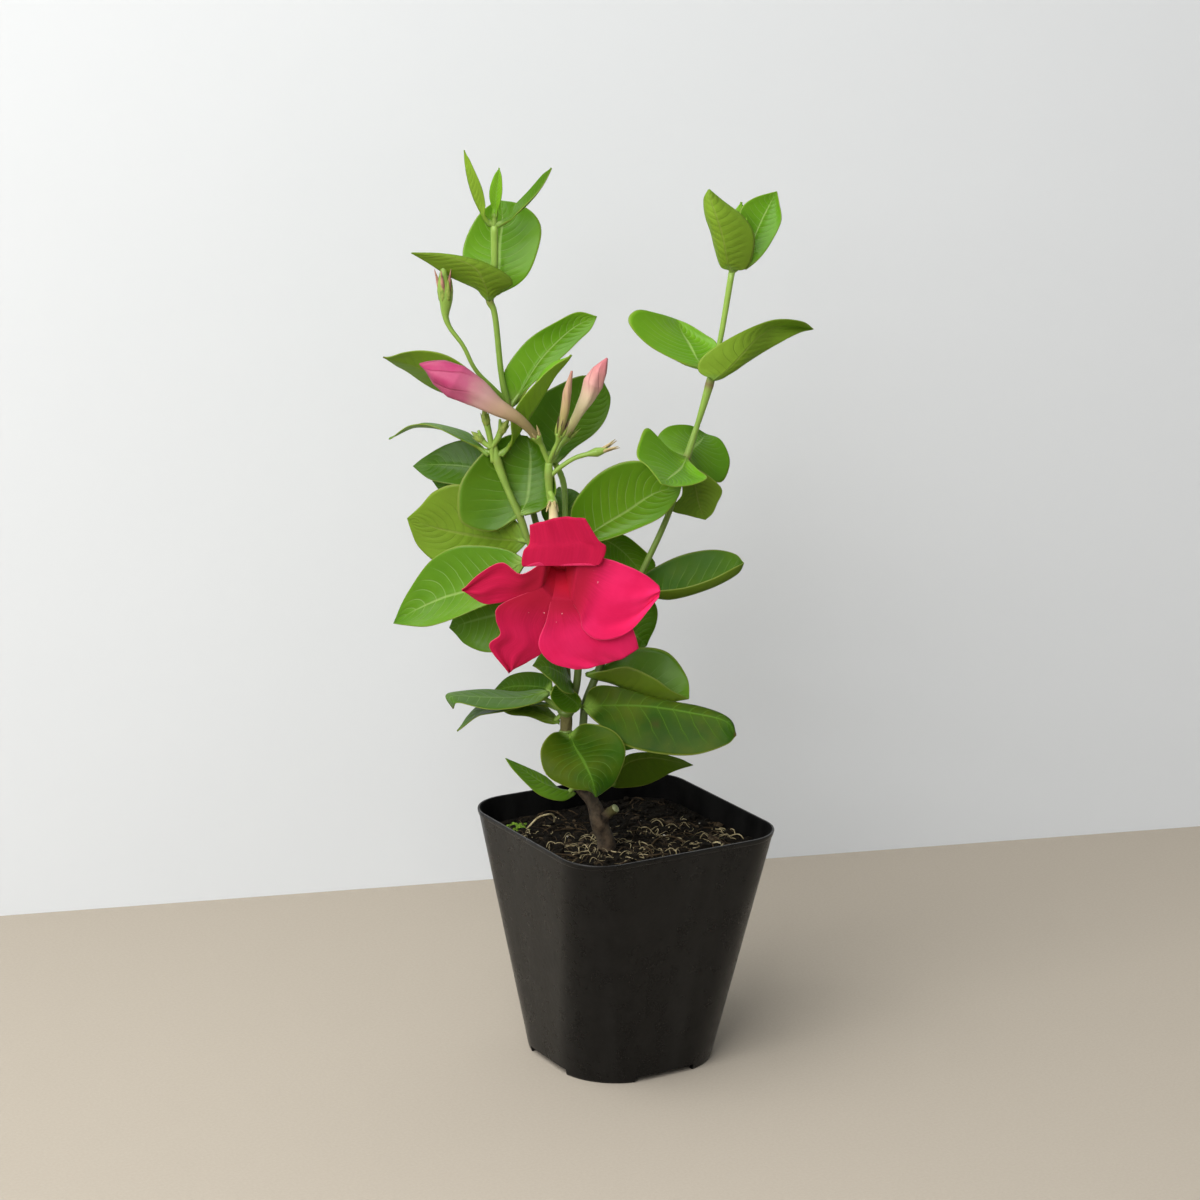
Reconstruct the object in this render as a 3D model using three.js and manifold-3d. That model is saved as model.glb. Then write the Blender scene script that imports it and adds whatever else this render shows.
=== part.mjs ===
// Mandevilla in a square nursery pot.
// Millimetres, +Z up. The origin is the middle of the pot's foot, and the pot's sides run along X and Y.
// The plant has its own turn about Z: in its tables x runs to the right of its front, y runs back and z up.
import * as THREE from "three";
import Module from "manifold-3d";

const wasm = await Module();
wasm.setup();

// ---- driving dimensions ----
const POT_TOP = 115;
const POT_FOOT = 82;
const POT_HEIGHT = 119;
const POT_TOP_CORNER = 21;
const POT_FOOT_CORNER = 31;
const POT_WALL = 1.2;
const POT_FLOOR = 2;
const RIM_OUT = 0.35;
const RIM_HEIGHT = 2.5;
const FOOT_HEIGHT = 3.6;
const FOOT_NOTCH_WIDTH = 33;
const FOOT_WALL = 3;
const DRAIN_RADIUS = 5;
const DRAIN_OFFSET = 18;
const MIX_TOP = 108;
const MIX_BUMP = 1.6;
const PLANT_TURN = -31.7;
const GAP = 0.35;
const CALYX_DEPTH = 1.6;
const LEAF_EDGE = 0.7;
const LEAF_MIDDLE = 1.0;
const PETIOLE_RADIUS = 1.3;
const BASE_HALF = 0.7;
const PETIOLE_SHARE = 0.1;
const STEM_SIDES = 7;

// ---- colours ----
const BLACK_PLASTIC = 0x232322;
const MIX_BROWN = 0x3a2c20;
const BARK = 0x5b4936;
const LEAF_GREEN = 0x3f7d34;
const YOUNG_GREEN = 0x6a9a3e;
const FLOWER_PINK = 0xe02058;
const BUD_PINK = 0xe0789a;
const BUD_CREAM = 0xd9b990;

// ---- small helpers ----
const V = (p) => new THREE.Vector3(p[0], p[1], p[2]);

// A number from 0 to 1 that depends only on its seed.
function hash(seed) {
  const s = Math.sin(seed * 127.1 + 11.7) * 43758.5453;
  return s - Math.floor(s);
}

function smooth(a, b, x) {
  const t = Math.min(1, Math.max(0, (x - a) / (b - a)));
  return t * t * (3 - 2 * t);
}

function solid(positions, triangles) {
  const made = new wasm.Manifold(
    new wasm.Mesh({
      numProp: 3,
      vertProperties: new Float32Array(positions),
      triVerts: new Uint32Array(triangles),
    }),
  );
  return made;
}

function join(list) {
  return list.reduce((all, one) => all.add(one));
}

function cut(body, list) {
  return list.reduce((rest, one) => rest.subtract(one), body);
}

// A closed solid from rings with the same number of points, each ring going round its axis the same way.
function loft(rings) {
  const n = rings[0].length;
  const positions = [];
  const triangles = [];
  rings.forEach((ring) => ring.forEach((p) => positions.push(p[0], p[1], p[2])));
  for (let k = 0; k + 1 < rings.length; k++) {
    for (let i = 0; i < n; i++) {
      const a = k * n + i;
      const b = k * n + ((i + 1) % n);
      triangles.push(a, b, b + n, a, b + n, a + n);
    }
  }
  const last = (rings.length - 1) * n;
  for (const [start, flip] of [[0, true], [last, false]]) {
    const ring = rings[start / n];
    const middle = positions.length / 3;
    const mean = [0, 1, 2].map((c) => ring.reduce((sum, p) => sum + p[c], 0) / n);
    positions.push(...mean);
    for (let i = 0; i < n; i++) {
      const a = start + i;
      const b = start + ((i + 1) % n);
      triangles.push(...(flip ? [middle, b, a] : [middle, a, b]));
    }
  }
  return solid(positions, triangles);
}

// A square of the given side with round corners, at height z.
function roundedSquare(side, corner, z, steps = 5) {
  const ring = [];
  const inner = side / 2 - corner;
  for (let q = 0; q < 4; q++) {
    const sx = [1, -1, -1, 1][q];
    const sy = [1, 1, -1, -1][q];
    for (let k = 0; k <= steps; k++) {
      const a = ((q + k / steps) * Math.PI) / 2;
      ring.push([sx * inner + corner * Math.cos(a), sy * inner + corner * Math.sin(a), z]);
    }
  }
  return ring;
}

// The side and the corner radius of the pot's outside at height z.
function potSide(z) {
  return POT_FOOT + ((POT_TOP - POT_FOOT) * z) / POT_HEIGHT;
}

function potCorner(z) {
  return POT_FOOT_CORNER + ((POT_TOP_CORNER - POT_FOOT_CORNER) * z) / POT_HEIGHT;
}

// The pot's cross-section at height z, moved inwards.
function potRing(z, inwards) {
  return roundedSquare(potSide(z) - 2 * inwards, potCorner(z) - inwards, z);
}

function box(x0, x1, y0, y1, z0, z1) {
  const ring = (z) => [[x0, y0, z], [x1, y0, z], [x1, y1, z], [x0, y1, z]];
  return loft([ring(z0), ring(z1)]);
}

// A round bar along a smooth line through points, with a radius at each point.
function bar(points, radii, sides = STEM_SIDES, steps = 3, grow = 0) {
  const line = new THREE.CatmullRomCurve3(points.map(V), false, "centripetal");
  const count = (points.length - 1) * steps;
  const rings = [];
  let across = new THREE.Vector3(0, 1, 0);
  for (let k = 0; k <= count; k++) {
    const t = k / count;
    const at = line.getPoint(t);
    const along = line.getTangent(t).normalize();
    across = across.clone().addScaledVector(along, -across.dot(along));
    if (across.length() < 0.05) across = new THREE.Vector3(1, 0, 0).addScaledVector(along, -along.x);
    across.normalize();
    const up = along.clone().cross(across);
    const place = t * (points.length - 1);
    const i = Math.min(points.length - 2, Math.floor(place));
    const r = radii[i] + (radii[i + 1] - radii[i]) * (place - i) + grow;
    const ring = [];
    for (let j = 0; j < sides; j++) {
      const a = (2 * Math.PI * j) / sides;
      const p = at.clone().addScaledVector(across, r * Math.cos(a)).addScaledVector(up, r * Math.sin(a));
      ring.push([p.x, p.y, p.z]);
    }
    rings.push(ring);
  }
  return loft(rings);
}

// A thin curved blade. middle(t) gives the line from base to tip, and at(t, u) a point of the middle surface
// with u from -1 to 1 across. Both faces have the same triangles, set apart by thick(t, u).
function blade(at, thick, lengthSteps, acrossSteps) {
  const rows = lengthSteps + 1;
  const columns = acrossSteps + 1;
  const top = [];
  const under = [];
  const d = 1e-3;
  for (let i = 0; i < rows; i++) {
    for (let j = 0; j < columns; j++) {
      const t = i / lengthSteps;
      const u = (2 * j) / acrossSteps - 1;
      const p = at(t, u);
      const t0 = Math.max(0, t - d);
      const t1 = Math.min(1, t + d);
      const u0 = Math.max(-1, u - d);
      const u1 = Math.min(1, u + d);
      const alongT = at(t1, u).sub(at(t0, u));
      const alongU = at(t, u1).sub(at(t, u0));
      const normal = alongU.cross(alongT).normalize();
      const half = thick(t, u) / 2;
      const a = p.clone().addScaledVector(normal, half);
      const b = p.clone().addScaledVector(normal, -half);
      top.push(a.x, a.y, a.z);
      under.push(b.x, b.y, b.z);
    }
  }
  const n = rows * columns;
  const triangles = [];
  const id = (i, j) => i * columns + j;
  for (let i = 0; i < lengthSteps; i++) {
    for (let j = 0; j < acrossSteps; j++) {
      const a = id(i, j);
      const b = id(i, j + 1);
      const c = id(i + 1, j + 1);
      const e = id(i + 1, j);
      if (j < acrossSteps / 2) {
        triangles.push(a, b, c, a, c, e);
        triangles.push(n + a, n + c, n + b, n + a, n + e, n + c);
      } else {
        triangles.push(a, b, e, b, c, e);
        triangles.push(n + a, n + e, n + b, n + b, n + e, n + c);
      }
    }
  }
  const edge = [];
  for (let j = 0; j < acrossSteps; j++) edge.push([id(0, j), id(0, j + 1)]);
  for (let i = 0; i < lengthSteps; i++) edge.push([id(i, acrossSteps), id(i + 1, acrossSteps)]);
  for (let j = acrossSteps; j > 0; j--) edge.push([id(lengthSteps, j), id(lengthSteps, j - 1)]);
  for (let i = lengthSteps; i > 0; i--) edge.push([id(i, 0), id(i - 1, 0)]);
  for (const [a, b] of edge) triangles.push(n + a, n + b, b, n + a, b, a);
  return solid([...top, ...under], triangles);
}

// How wide a leaf is at t, as a share of its greatest width: a stalk, a rounded blade and a short point.
function leafWidth(t, stalk) {
  const q = Math.max(0, (t - PETIOLE_SHARE) / (1 - PETIOLE_SHARE));
  const body = Math.pow(Math.sin(Math.PI * Math.pow(q, 0.95)), 0.72);
  const point = 1 - 0.45 * smooth(0.86, 1, q);
  return Math.max(stalk * (1 - 0.75 * q), body * point);
}

// One leaf. base and tip are the ends of its midrib, up is the way that its upper face looks, arch lifts the
// middle of the midrib, fold closes the two halves upwards (degrees), cup curls the edges up, wave ripples
// them, twist turns the blade from base to tip (degrees) and hook bends the tip down.
function leafSurface(leaf) {
  const base = V(leaf.base);
  const chord = V(leaf.tip).sub(base);
  const length = chord.length();
  const along = chord.clone().normalize();
  const up = V(leaf.up);
  up.addScaledVector(along, -up.dot(along)).normalize();
  const side = along.clone().cross(up);
  const arch = leaf.arch ?? 4;
  const fold = THREE.MathUtils.degToRad(leaf.fold ?? 8);
  const cup = leaf.cup ?? 0;
  const wave = leaf.wave ?? 0.8;
  const twist = THREE.MathUtils.degToRad(leaf.twist ?? 0);
  const hook = leaf.hook ?? 2;
  const phase = leaf.base[0] + leaf.tip[2];
  return (t, u) => {
    const half = (leaf.width / 2) * leafWidth(t, (2 * PETIOLE_RADIUS) / leaf.width);
    const turn = twist * t;
    const s = side.clone().multiplyScalar(Math.cos(turn)).addScaledVector(up, Math.sin(turn));
    const n = up.clone().multiplyScalar(Math.cos(turn)).addScaledVector(side, -Math.sin(turn));
    const open = smooth(PETIOLE_SHARE, 0.3, t);
    const angle = fold * open;
    const across = half * Math.abs(u);
    const ripple = wave * Math.sin(9 * t + phase + 2 * Math.sign(u)) * u * u * open;
    const lift = across * Math.sin(angle) + cup * across * Math.abs(u) + ripple;
    const rise = arch * 4 * t * (1 - t) - hook * smooth(0.75, 1, t);
    return base
      .clone()
      .addScaledVector(along, length * t)
      .addScaledVector(up, rise)
      .addScaledVector(s, half * u * Math.cos(angle))
      .addScaledVector(n, lift);
  };
}

// A leaf drawn by three curves from its base to its tip: its midrib and its two edges. It's looked at from its
// upper side when the left edge is on the left on the way to the tip.
function drapedSurface(leaf) {
  const [mid, left, right] = [leaf.mid, leaf.left, leaf.right].map(
    (points) => new THREE.CatmullRomCurve3(points.map(V), false, "catmullrom"),
  );
  const across = right.getPoint(0.5).sub(left.getPoint(0.5)).normalize();
  return (t, u) => {
    const [m, l, r] = [mid, left, right].map((curve) => curve.getPoint(t));
    const bend = l.clone().add(r).multiplyScalar(0.5).sub(m);
    return m
      .addScaledVector(r.sub(l), u / 2)
      .addScaledVector(bend, u * u)
      .addScaledVector(across, u * BASE_HALF);
  };
}

function surfaceOf(leaf) {
  return leaf.mid ? drapedSurface(leaf) : leafSurface(leaf);
}

function leafSolid(leaf) {
  const rib = (t, u) => (Math.abs(u) < 0.1 ? 1.1 * (1 - smooth(PETIOLE_SHARE, 0.75, t)) : 0);
  const thick = (t, u) => {
    const stalk = 1 - smooth(PETIOLE_SHARE, 0.2, t);
    return LEAF_EDGE + (LEAF_MIDDLE - LEAF_EDGE) * (1 - Math.abs(u)) + 0.7 * stalk + rib(t, u) * 0.5;
  };
  const fine = !(leaf.width < 20);
  return blade(surfaceOf(leaf), thick, fine ? 6 : 5, fine ? 4 : 2);
}

// ---- tables of the plant ----
const TOP_LEFT_LEAVES = [
  {
    base: [-68, 5, 403], tip: [-80, 0, 438], up: [0.9, 0.3, 0.2], width: 11,
    fold: 45, arch: -3, wave: 0.3, hook: 0,
  },
  {
    base: [-66, 4, 407], tip: [-64, 2, 430], up: [-0.3, -1, 0.1], width: 7,
    fold: 30, arch: 0, wave: 0.2, hook: 0,
  },
  {
    base: [-65, 4, 403], tip: [-40, -4, 431], up: [-0.6, -0.5, 0.6], width: 9,
    fold: 35, arch: -4, wave: 0.4, hook: 0,
  },
  { base: [-60, 11, 318], tip: [-117, 12, 341], up: [0.3, 0.65, 0.7], width: 32, arch: 0, fold: 8 },
  { base: [-41, 4, 223], tip: [-86, 8, 210], up: [-0.1, -0.85, 0.4], width: 36, arch: 2 },
  {
    mid: [[-68, 6, 368], [-70, 1, 376], [-75, -3, 385], [-89, -4, 390], [-104, -4, 391]],
    left: [
      [-68, 6, 368], [-64, 6, 372], [-58, 5, 376], [-61, 4, 381],
      [-73, 2, 387], [-90, -1, 390], [-104, -4, 391],
    ],
    right: [[-68, 6, 368], [-73, 5, 373], [-79, 4, 376], [-87, 2, 380], [-96, -1, 386], [-104, -4, 391]],
  },
  {
    mid: [[-57, 12, 317], [-47, 14, 335], [-38, 16, 346], [-28, 16, 355], [-18, 15, 360]],
    left: [
      [-57, 12, 317], [-61, 12, 329], [-58, 13, 338], [-49, 14, 349],
      [-37, 14, 357], [-27, 14, 362], [-18, 15, 360],
    ],
    right: [
      [-57, 12, 317], [-51, 12, 325], [-42, 13, 334], [-32, 14, 343],
      [-26, 14, 349], [-21, 14, 354], [-18, 15, 360],
    ],
  },
  {
    mid: [[-65, 10, 370], [-64, 15, 382], [-64, 20, 392], [-63, 23, 403], [-64, 26, 412]],
    left: [
      [-65, 10, 370], [-73, 13, 375], [-80, 15, 384], [-80, 18, 393],
      [-75, 21, 404], [-69, 23, 410], [-64, 26, 412],
    ],
    right: [
      [-65, 10, 370], [-55, 13, 375], [-49, 15, 383], [-45, 18, 398],
      [-48, 21, 406], [-56, 23, 411], [-64, 26, 412],
    ],
  },
  {
    mid: [[-65, 4, 286], [-76, 9, 288], [-91, 13, 288], [-104, 18, 286]],
    left: [[-65, 4, 286], [-72, 3, 281], [-85, 5, 281], [-96, 10, 282], [-104, 18, 286]],
    right: [[-65, 4, 286], [-70, 9, 297], [-78, 13, 300], [-88, 16, 297], [-99, 18, 290], [-104, 18, 286]],
  },
  {
    mid: [[-74, 11, 278], [-85, 17, 278], [-95, 23, 278]],
    left: [[-74, 11, 278], [-79, 15, 274], [-90, 19, 274], [-95, 23, 278]],
    right: [[-74, 11, 278], [-79, 15, 280], [-89, 19, 280], [-95, 23, 278]],
  },
];
const LEFT_LEAVES = [
  { base: [-61, -6, 297], tip: [-31, -4, 346], up: [-0.8, 0.1, 0.5], width: 24, fold: 35, arch: -1 },
  { base: [-67, -6, 297], tip: [-114, 10, 304], up: [0.1, 0.12, 1], width: 24, arch: 7, fold: 6, hook: 3 },
  {
    mid: [[-52, -9, 269], [-49, -5, 276], [-48, -1, 287], [-48, 1, 297], [-50, 3, 305]],
    left: [
      [-52, -9, 269], [-64, -10, 262], [-78, -10, 265], [-81, -10, 274],
      [-79, -8, 286], [-68, -5, 300], [-58, -1, 306], [-50, 3, 305],
    ],
    right: [
      [-52, -9, 269], [-42, -11, 273], [-36, -12, 281],
      [-38, -9, 292], [-43, -4, 301], [-50, 3, 305],
    ],
  },
  {
    mid: [[-48, -7, 257], [-64, 0, 256], [-78, 4, 257], [-92, 7, 259], [-106, 8, 263]],
    left: [
      [-48, -7, 257], [-58, -4, 269], [-70, -1, 277], [-82, 2, 281],
      [-93, 4, 277], [-100, 6, 269], [-106, 8, 263],
    ],
    right: [
      [-48, -7, 257], [-58, -2, 247], [-74, 3, 242], [-90, 6, 242],
      [-100, 8, 249], [-104, 8, 257], [-106, 8, 263],
    ],
  },
  {
    mid: [
      [-49, -16, 249], [-63, -12, 241], [-76, -9, 233],
      [-88, -5, 228], [-101, -2, 221], [-112, 2, 213],
    ],
    left: [
      [-49, -16, 249], [-59, -16, 233], [-74, -15, 225], [-86, -13, 219],
      [-96, -9, 215], [-106, -4, 214], [-112, 2, 213],
    ],
    right: [
      [-49, -16, 249], [-58, -12, 253], [-72, -8, 254], [-84, -5, 252],
      [-95, -2, 244], [-106, 0, 227], [-112, 2, 213],
    ],
  },
];
const MIDDLE_LEAVES = [
  { base: [-28, 10, 253], tip: [-35, 26, 276], up: [0, -0.9, 0.3], width: 22, arch: 3 },
  { base: [-11, 10, 220], tip: [9, 10, 202], up: [0.05, -0.99, 0.05], width: 36, arch: -3 },
  {
    twig: true,
    mid: [[-37, 18, 288], [-33, 22, 298], [-26, 25, 309], [-19, 27, 319], [-14, 28, 326]],
    left: [
      [-37, 18, 288], [-45, 19, 296], [-50, 20, 306], [-48, 21, 317],
      [-38, 23, 324], [-24, 25, 330], [-14, 28, 326],
    ],
    right: [[-37, 18, 288], [-29, 21, 295], [-19, 24, 302], [-13, 26, 310], [-11, 27, 319], [-14, 28, 326]],
  },
  {
    mid: [[-26, -4, 255], [-14, -4, 264], [-2, -5, 272], [10, -8, 281], [23, -12, 286]],
    left: [
      [-26, -4, 255], [-28, -6, 271], [-21, -8, 284], [-11, -10, 293],
      [1, -11, 297], [14, -12, 294], [23, -12, 286],
    ],
    right: [[-26, -4, 255], [-14, -7, 258], [1, -9, 264], [14, -11, 271], [21, -12, 280], [23, -12, 286]],
  },
  {
    mid: [[-20, 4, 259], [-10, 10, 253], [-2, 14, 246], [9, 16, 233]],
    left: [[-20, 4, 259], [-11, 6, 257], [-3, 9, 256], [7, 11, 248], [12, 14, 241], [9, 16, 233]],
    right: [[-20, 4, 259], [-16, 7, 248], [-7, 10, 236], [2, 13, 231], [9, 16, 233]],
  },
];
const RIGHT_LEAVES = [
  { base: [44, 6, 385], tip: [48, 16, 415], up: [0, -1, 0], width: 9, arch: 1 },
  {
    mid: [[25, 2, 296], [22, -8, 293], [18, -19, 292], [13, -32, 291]],
    left: [[25, 2, 296], [30, -8, 293], [34, -16, 291], [27, -23, 289], [19, -28, 289], [13, -32, 291]],
    right: [
      [25, 2, 296], [17, -6, 302], [7, -14, 313], [3, -20, 308],
      [2, -25, 302], [7, -29, 298], [13, -32, 291],
    ],
  },
  {
    mid: [[25, 6, 295], [28, 14, 298], [32, 22, 300], [35, 30, 302]],
    left: [[25, 6, 295], [17, 11, 298], [12, 16, 302], [17, 20, 307], [27, 25, 307], [35, 30, 302]],
    right: [[25, 6, 295], [33, 11, 286], [42, 16, 282], [46, 20, 291], [42, 25, 300], [35, 30, 302]],
  },
  {
    mid: [[27, 6, 291], [30, 8, 281], [32, 9, 272], [35, 8, 265]],
    left: [[27, 6, 291], [24, 6, 285], [24, 7, 277], [19, 7, 270], [27, 8, 267], [35, 8, 265]],
    right: [[27, 6, 291], [35, 6, 287], [42, 7, 280], [40, 7, 273], [38, 8, 268], [35, 8, 265]],
  },
  {
    mid: [[7, -4, 233], [15, -5, 230], [24, -6, 232], [39, -8, 238], [50, -9, 244], [53, -10, 249]],
    left: [
      [7, -4, 233], [6, 3, 238], [15, 8, 243], [27, 9, 248],
      [39, 6, 251], [49, -1, 251], [53, -10, 249],
    ],
    right: [[7, -4, 233], [13, -10, 235], [25, -15, 238], [39, -16, 243], [49, -14, 248], [53, -10, 249]],
  },
  {
    mid: [[-20, -9, 193], [-6, -11, 189], [6, -12, 184], [18, -14, 182], [29, -16, 184]],
    left: [[-20, -9, 193], [-10, -2, 196], [3, 2, 203], [18, 0, 202], [28, -6, 192], [29, -16, 184]],
    right: [[-20, -9, 193], [-11, -15, 197], [0, -19, 200], [11, -21, 196], [20, -19, 189], [29, -16, 184]],
  },
  {
    mid: [[-21, -11, 177], [-6, -20, 181], [11, -28, 183], [30, -37, 183], [45, -45, 182], [50, -54, 178]],
    left: [
      [-21, -11, 177], [-17, -13, 187], [-5, -17, 189], [13, -22, 184],
      [31, -31, 184], [47, -42, 182], [50, -54, 178],
    ],
    right: [
      [-21, -11, 177], [-14, -24, 174], [-3, -36, 168], [12, -44, 166],
      [30, -50, 167], [45, -53, 173], [50, -54, 178],
    ],
  },
  {
    mid: [[-14, -4, 166], [-5, 4, 158], [4, 12, 150]],
    left: [[-14, -4, 166], [-9, 1, 164], [0, 7, 156], [4, 12, 150]],
    right: [[-14, -4, 166], [-9, 1, 158], [-2, 7, 151], [4, 12, 150]],
  },
  {
    mid: [[31, 4, 338], [28, 9, 343], [25, 14, 348], [22, 19, 352], [19, 24, 358]],
    left: [
      [31, 4, 338], [21, 0, 342], [6, -1, 350], [-3, 0, 360],
      [1, 5, 365], [11, 14, 362], [19, 24, 358],
    ],
    right: [[31, 4, 338], [37, 10, 340], [38, 16, 348], [32, 20, 352], [25, 22, 356], [19, 24, 358]],
  },
  {
    mid: [[36, -1, 334], [43, 0, 339], [50, 3, 346], [58, 11, 353], [69, 23, 356], [85, 38, 352]],
    left: [[36, -1, 334], [43, 3, 336], [54, 9, 342], [66, 17, 348], [77, 27, 352], [85, 38, 352]],
    right: [
      [36, -1, 334], [30, -1, 338], [32, 0, 345], [46, 4, 354],
      [64, 13, 360], [78, 24, 358], [85, 38, 352],
    ],
  },
  {
    mid: [[43, 4, 385], [41, -1, 392], [39, -4, 401], [36, -6, 410], [33, -5, 418], [32, -4, 423]],
    left: [
      [43, 4, 385], [50, 4, 386], [53, 4, 393], [53, 3, 402],
      [48, 1, 410], [39, -1, 417], [32, -4, 423],
    ],
    right: [
      [43, 4, 385], [39, 4, 387], [36, 4, 395], [34, 3, 402],
      [31, 1, 410], [30, -1, 418], [32, -4, 423],
    ],
  },
  {
    mid: [[50, 6, 385], [53, 11, 396], [57, 14, 406], [61, 16, 414], [64, 16, 420]],
    left: [[50, 6, 385], [48, 8, 390], [47, 10, 402], [48, 12, 412], [54, 14, 417], [64, 16, 420]],
    right: [[50, 6, 385], [57, 8, 391], [62, 10, 398], [66, 12, 407], [65, 14, 415], [64, 16, 420]],
  },
];
const LOW_LEAVES = [
  { base: [-26, -10, 186], tip: [-43, -28, 203], up: [0.1, -0.6, 0.8], width: 26, arch: 3 },
  { base: [-34, -6, 176], tip: [-81, -14, 168], up: [0, 0.02, 1], width: 24, arch: 5, hook: 3 },
  {
    mid: [[-37, -12, 184], [-52, -15, 182], [-69, -18, 183], [-83, -21, 184], [-82, -24, 179]],
    left: [
      [-37, -12, 184], [-42, -23, 183], [-53, -30, 182],
      [-66, -33, 182], [-79, -30, 184], [-82, -24, 179],
    ],
    right: [
      [-37, -12, 184], [-43, -7, 184], [-53, -4, 182], [-66, -4, 183],
      [-79, -8, 183], [-86, -15, 183], [-82, -24, 179],
    ],
  },
  {
    mid: [[-36, 2, 182], [-46, 10, 181], [-57, 18, 178], [-66, 26, 172]],
    left: [[-36, 2, 182], [-45, 8, 174], [-56, 16, 172], [-66, 26, 172]],
    right: [[-36, 2, 182], [-38, 9, 186], [-48, 16, 186], [-58, 21, 182], [-66, 26, 172]],
  },
  {
    mid: [[-32, -10, 169], [-42, -9, 173], [-52, -7, 174], [-61, -6, 174]],
    left: [[-32, -10, 169], [-40, -2, 175], [-51, 0, 176], [-61, -6, 174]],
    right: [[-32, -10, 169], [-38, -10, 169], [-47, -10, 172], [-55, -8, 172], [-61, -6, 174]],
  },
  {
    mid: [[-22, -13, 178], [-26, -15, 182], [-31, -20, 187], [-35, -28, 192]],
    left: [[-22, -13, 178], [-25, -18, 177], [-31, -22, 179], [-36, -26, 186], [-35, -28, 192]],
    right: [[-22, -13, 178], [-23, -18, 184], [-28, -22, 190], [-32, -26, 193], [-35, -28, 192]],
  },
];
const FIRST_PAIR = [
  {
    mid: [[-7, -8, 138], [0, 0, 146], [12, 7, 147], [24, 14, 143], [33, 22, 139]],
    left: [[-7, -8, 138], [-2, -5, 136], [11, 1, 136], [24, 10, 140], [33, 22, 139]],
    right: [[-7, -8, 138], [-1, 2, 148], [12, 10, 148], [25, 17, 144], [33, 22, 139]],
  },
  {
    mid: [[-24, -15, 135], [-37, -21, 141], [-47, -26, 149], [-57, -32, 158]],
    left: [
      [-24, -15, 135], [-30, -21, 134], [-39, -27, 138],
      [-47, -30, 145], [-53, -32, 152], [-57, -32, 158],
    ],
    right: [[-24, -15, 135], [-31, -16, 137], [-39, -18, 145], [-47, -24, 151], [-57, -32, 158]],
  },
];
const SECOND_PAIR = [
  {
    mid: [[-27, -18, 166], [-24, -32, 163], [-20, -46, 161], [-16, -58, 156], [-14, -70, 152]],
    left: [
      [-27, -18, 166], [-20, -27, 174], [-7, -35, 173], [-1, -44, 166],
      [-5, -53, 155], [-10, -61, 152], [-14, -70, 152],
    ],
    right: [
      [-27, -18, 166], [-35, -27, 169], [-40, -35, 163], [-37, -44, 154],
      [-27, -53, 151], [-17, -61, 152], [-14, -70, 152],
    ],
  },
];
const TRUNK = {
  points: [
    [-9, -16, 102],
    [-9, -16, 113],
    [-12, -16, 121],
    [-16, -15, 132],
    [-23, -14, 140],
    [-28, -13, 151],
    [-29, -12, 164],
    [-29, -11, 175],
  ],
  radii: [4.8, 4.1, 3.9, 3.1, 2.8, 2.7, 2.7, 2.9],
};
const STUB = {
  points: [
    [-12, -16, 121],
    [-9, -18, 126],
    [-5, -20, 130],
  ],
  radii: [2.6, 2.4, 2.2],
};
const TOP_LEFT_STEM = {
  points: [
    [-31, -9, 180],
    [-29, -8, 190],
    [-33, -4, 218],
    [-40, 4, 245],
    [-48, 10, 273],
    [-55, 12, 306],
    [-59, 11, 318],
    [-62, 10, 331],
    [-66, 8, 363],
    [-68, 7, 368],
    [-66, 6, 383],
    [-66, 5, 403],
  ],
  radii: [2.1, 1.9, 1.7, 1.6, 1.5, 1.5, 1.9, 1.4, 1.4, 1.9, 1.6, 1.8],
};
const LEFT_STEM = {
  points: [
    [-36, -6, 233],
    [-43, -8, 247],
    [-48, -8, 257],
    [-52, -8, 268],
    [-58, -7, 281],
    [-63, -6, 294],
    [-65, -6, 304],
  ],
  radii: [1.6, 1.5, 1.5, 1.9, 1.6, 2.2, 1.2],
};
const MIDDLE_STEM = {
  points: [
    [-26, -11, 181],
    [-24, -11, 191],
    [-24, -10, 210],
    [-27, -9, 229],
    [-30, -8, 248],
    [-35, -8, 263],
    [-38, -9, 277],
    [-39, -10, 289],
    [-39, -10, 295],
  ],
  radii: [2, 1.8, 1.8, 1.8, 1.7, 1.7, 1.7, 2.1, 1.8],
};
const BACK_TWIG = {
  points: [
    [-30, -8, 248],
    [-31, 9, 263],
    [-33, 19, 281],
    [-40, 18, 294],
  ],
  radii: [1.6, 1.5, 1.5, 1.4],
};
const STALK_LARGE = {
  points: [
    [-39, -10, 295],
    [-41, -11, 300],
    [-43, -13, 305],
    [-45, -15, 309],
  ],
  radii: [1.4, 1.3, 1.3, 2.6],
};
const STALK_UPRIGHT = {
  points: [
    [-39, -10, 295],
    [-36, -9, 299],
    [-34, -8, 303],
    [-31, -7, 307],
  ],
  radii: [1.4, 1.2, 1.2, 2.6],
};
const STALK_SMALL = {
  points: [
    [-39, -10, 295],
    [-37, -13, 301],
    [-35, -15, 306],
    [-34, -16, 310],
  ],
  radii: [1.2, 1.1, 1.1, 2.3],
};
const SPENT_RIGHT = {
  points: [
    [-39, -10, 288],
    [-34, -11, 293],
    [-27, -12, 298],
    [-21, -12, 300],
    [-17, -12, 301],
    [-14, -12, 302],
    [-12, -12, 303],
  ],
  radii: [1.2, 1.1, 1.1, 1.2, 2.3, 1.6, 0.8],
};
const STALK_OPEN = {
  points: [
    [-39, -9, 282],
    [-37, -13, 279],
    [-37, -16, 277],
  ],
  radii: [1.4, 1.4, 2.7],
};
const SPENT_LEFT = {
  points: [
    [-59, 11, 319],
    [-66, 6, 327],
    [-74, 2, 336],
    [-80, 0, 348],
    [-86, 0, 356],
    [-88, 0, 361],
    [-88, 0, 369],
    [-89, 0, 376],
    [-89, 0, 385],
  ],
  radii: [1.1, 1, 1, 1, 1.1, 1.5, 3.2, 3, 1],
};
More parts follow.
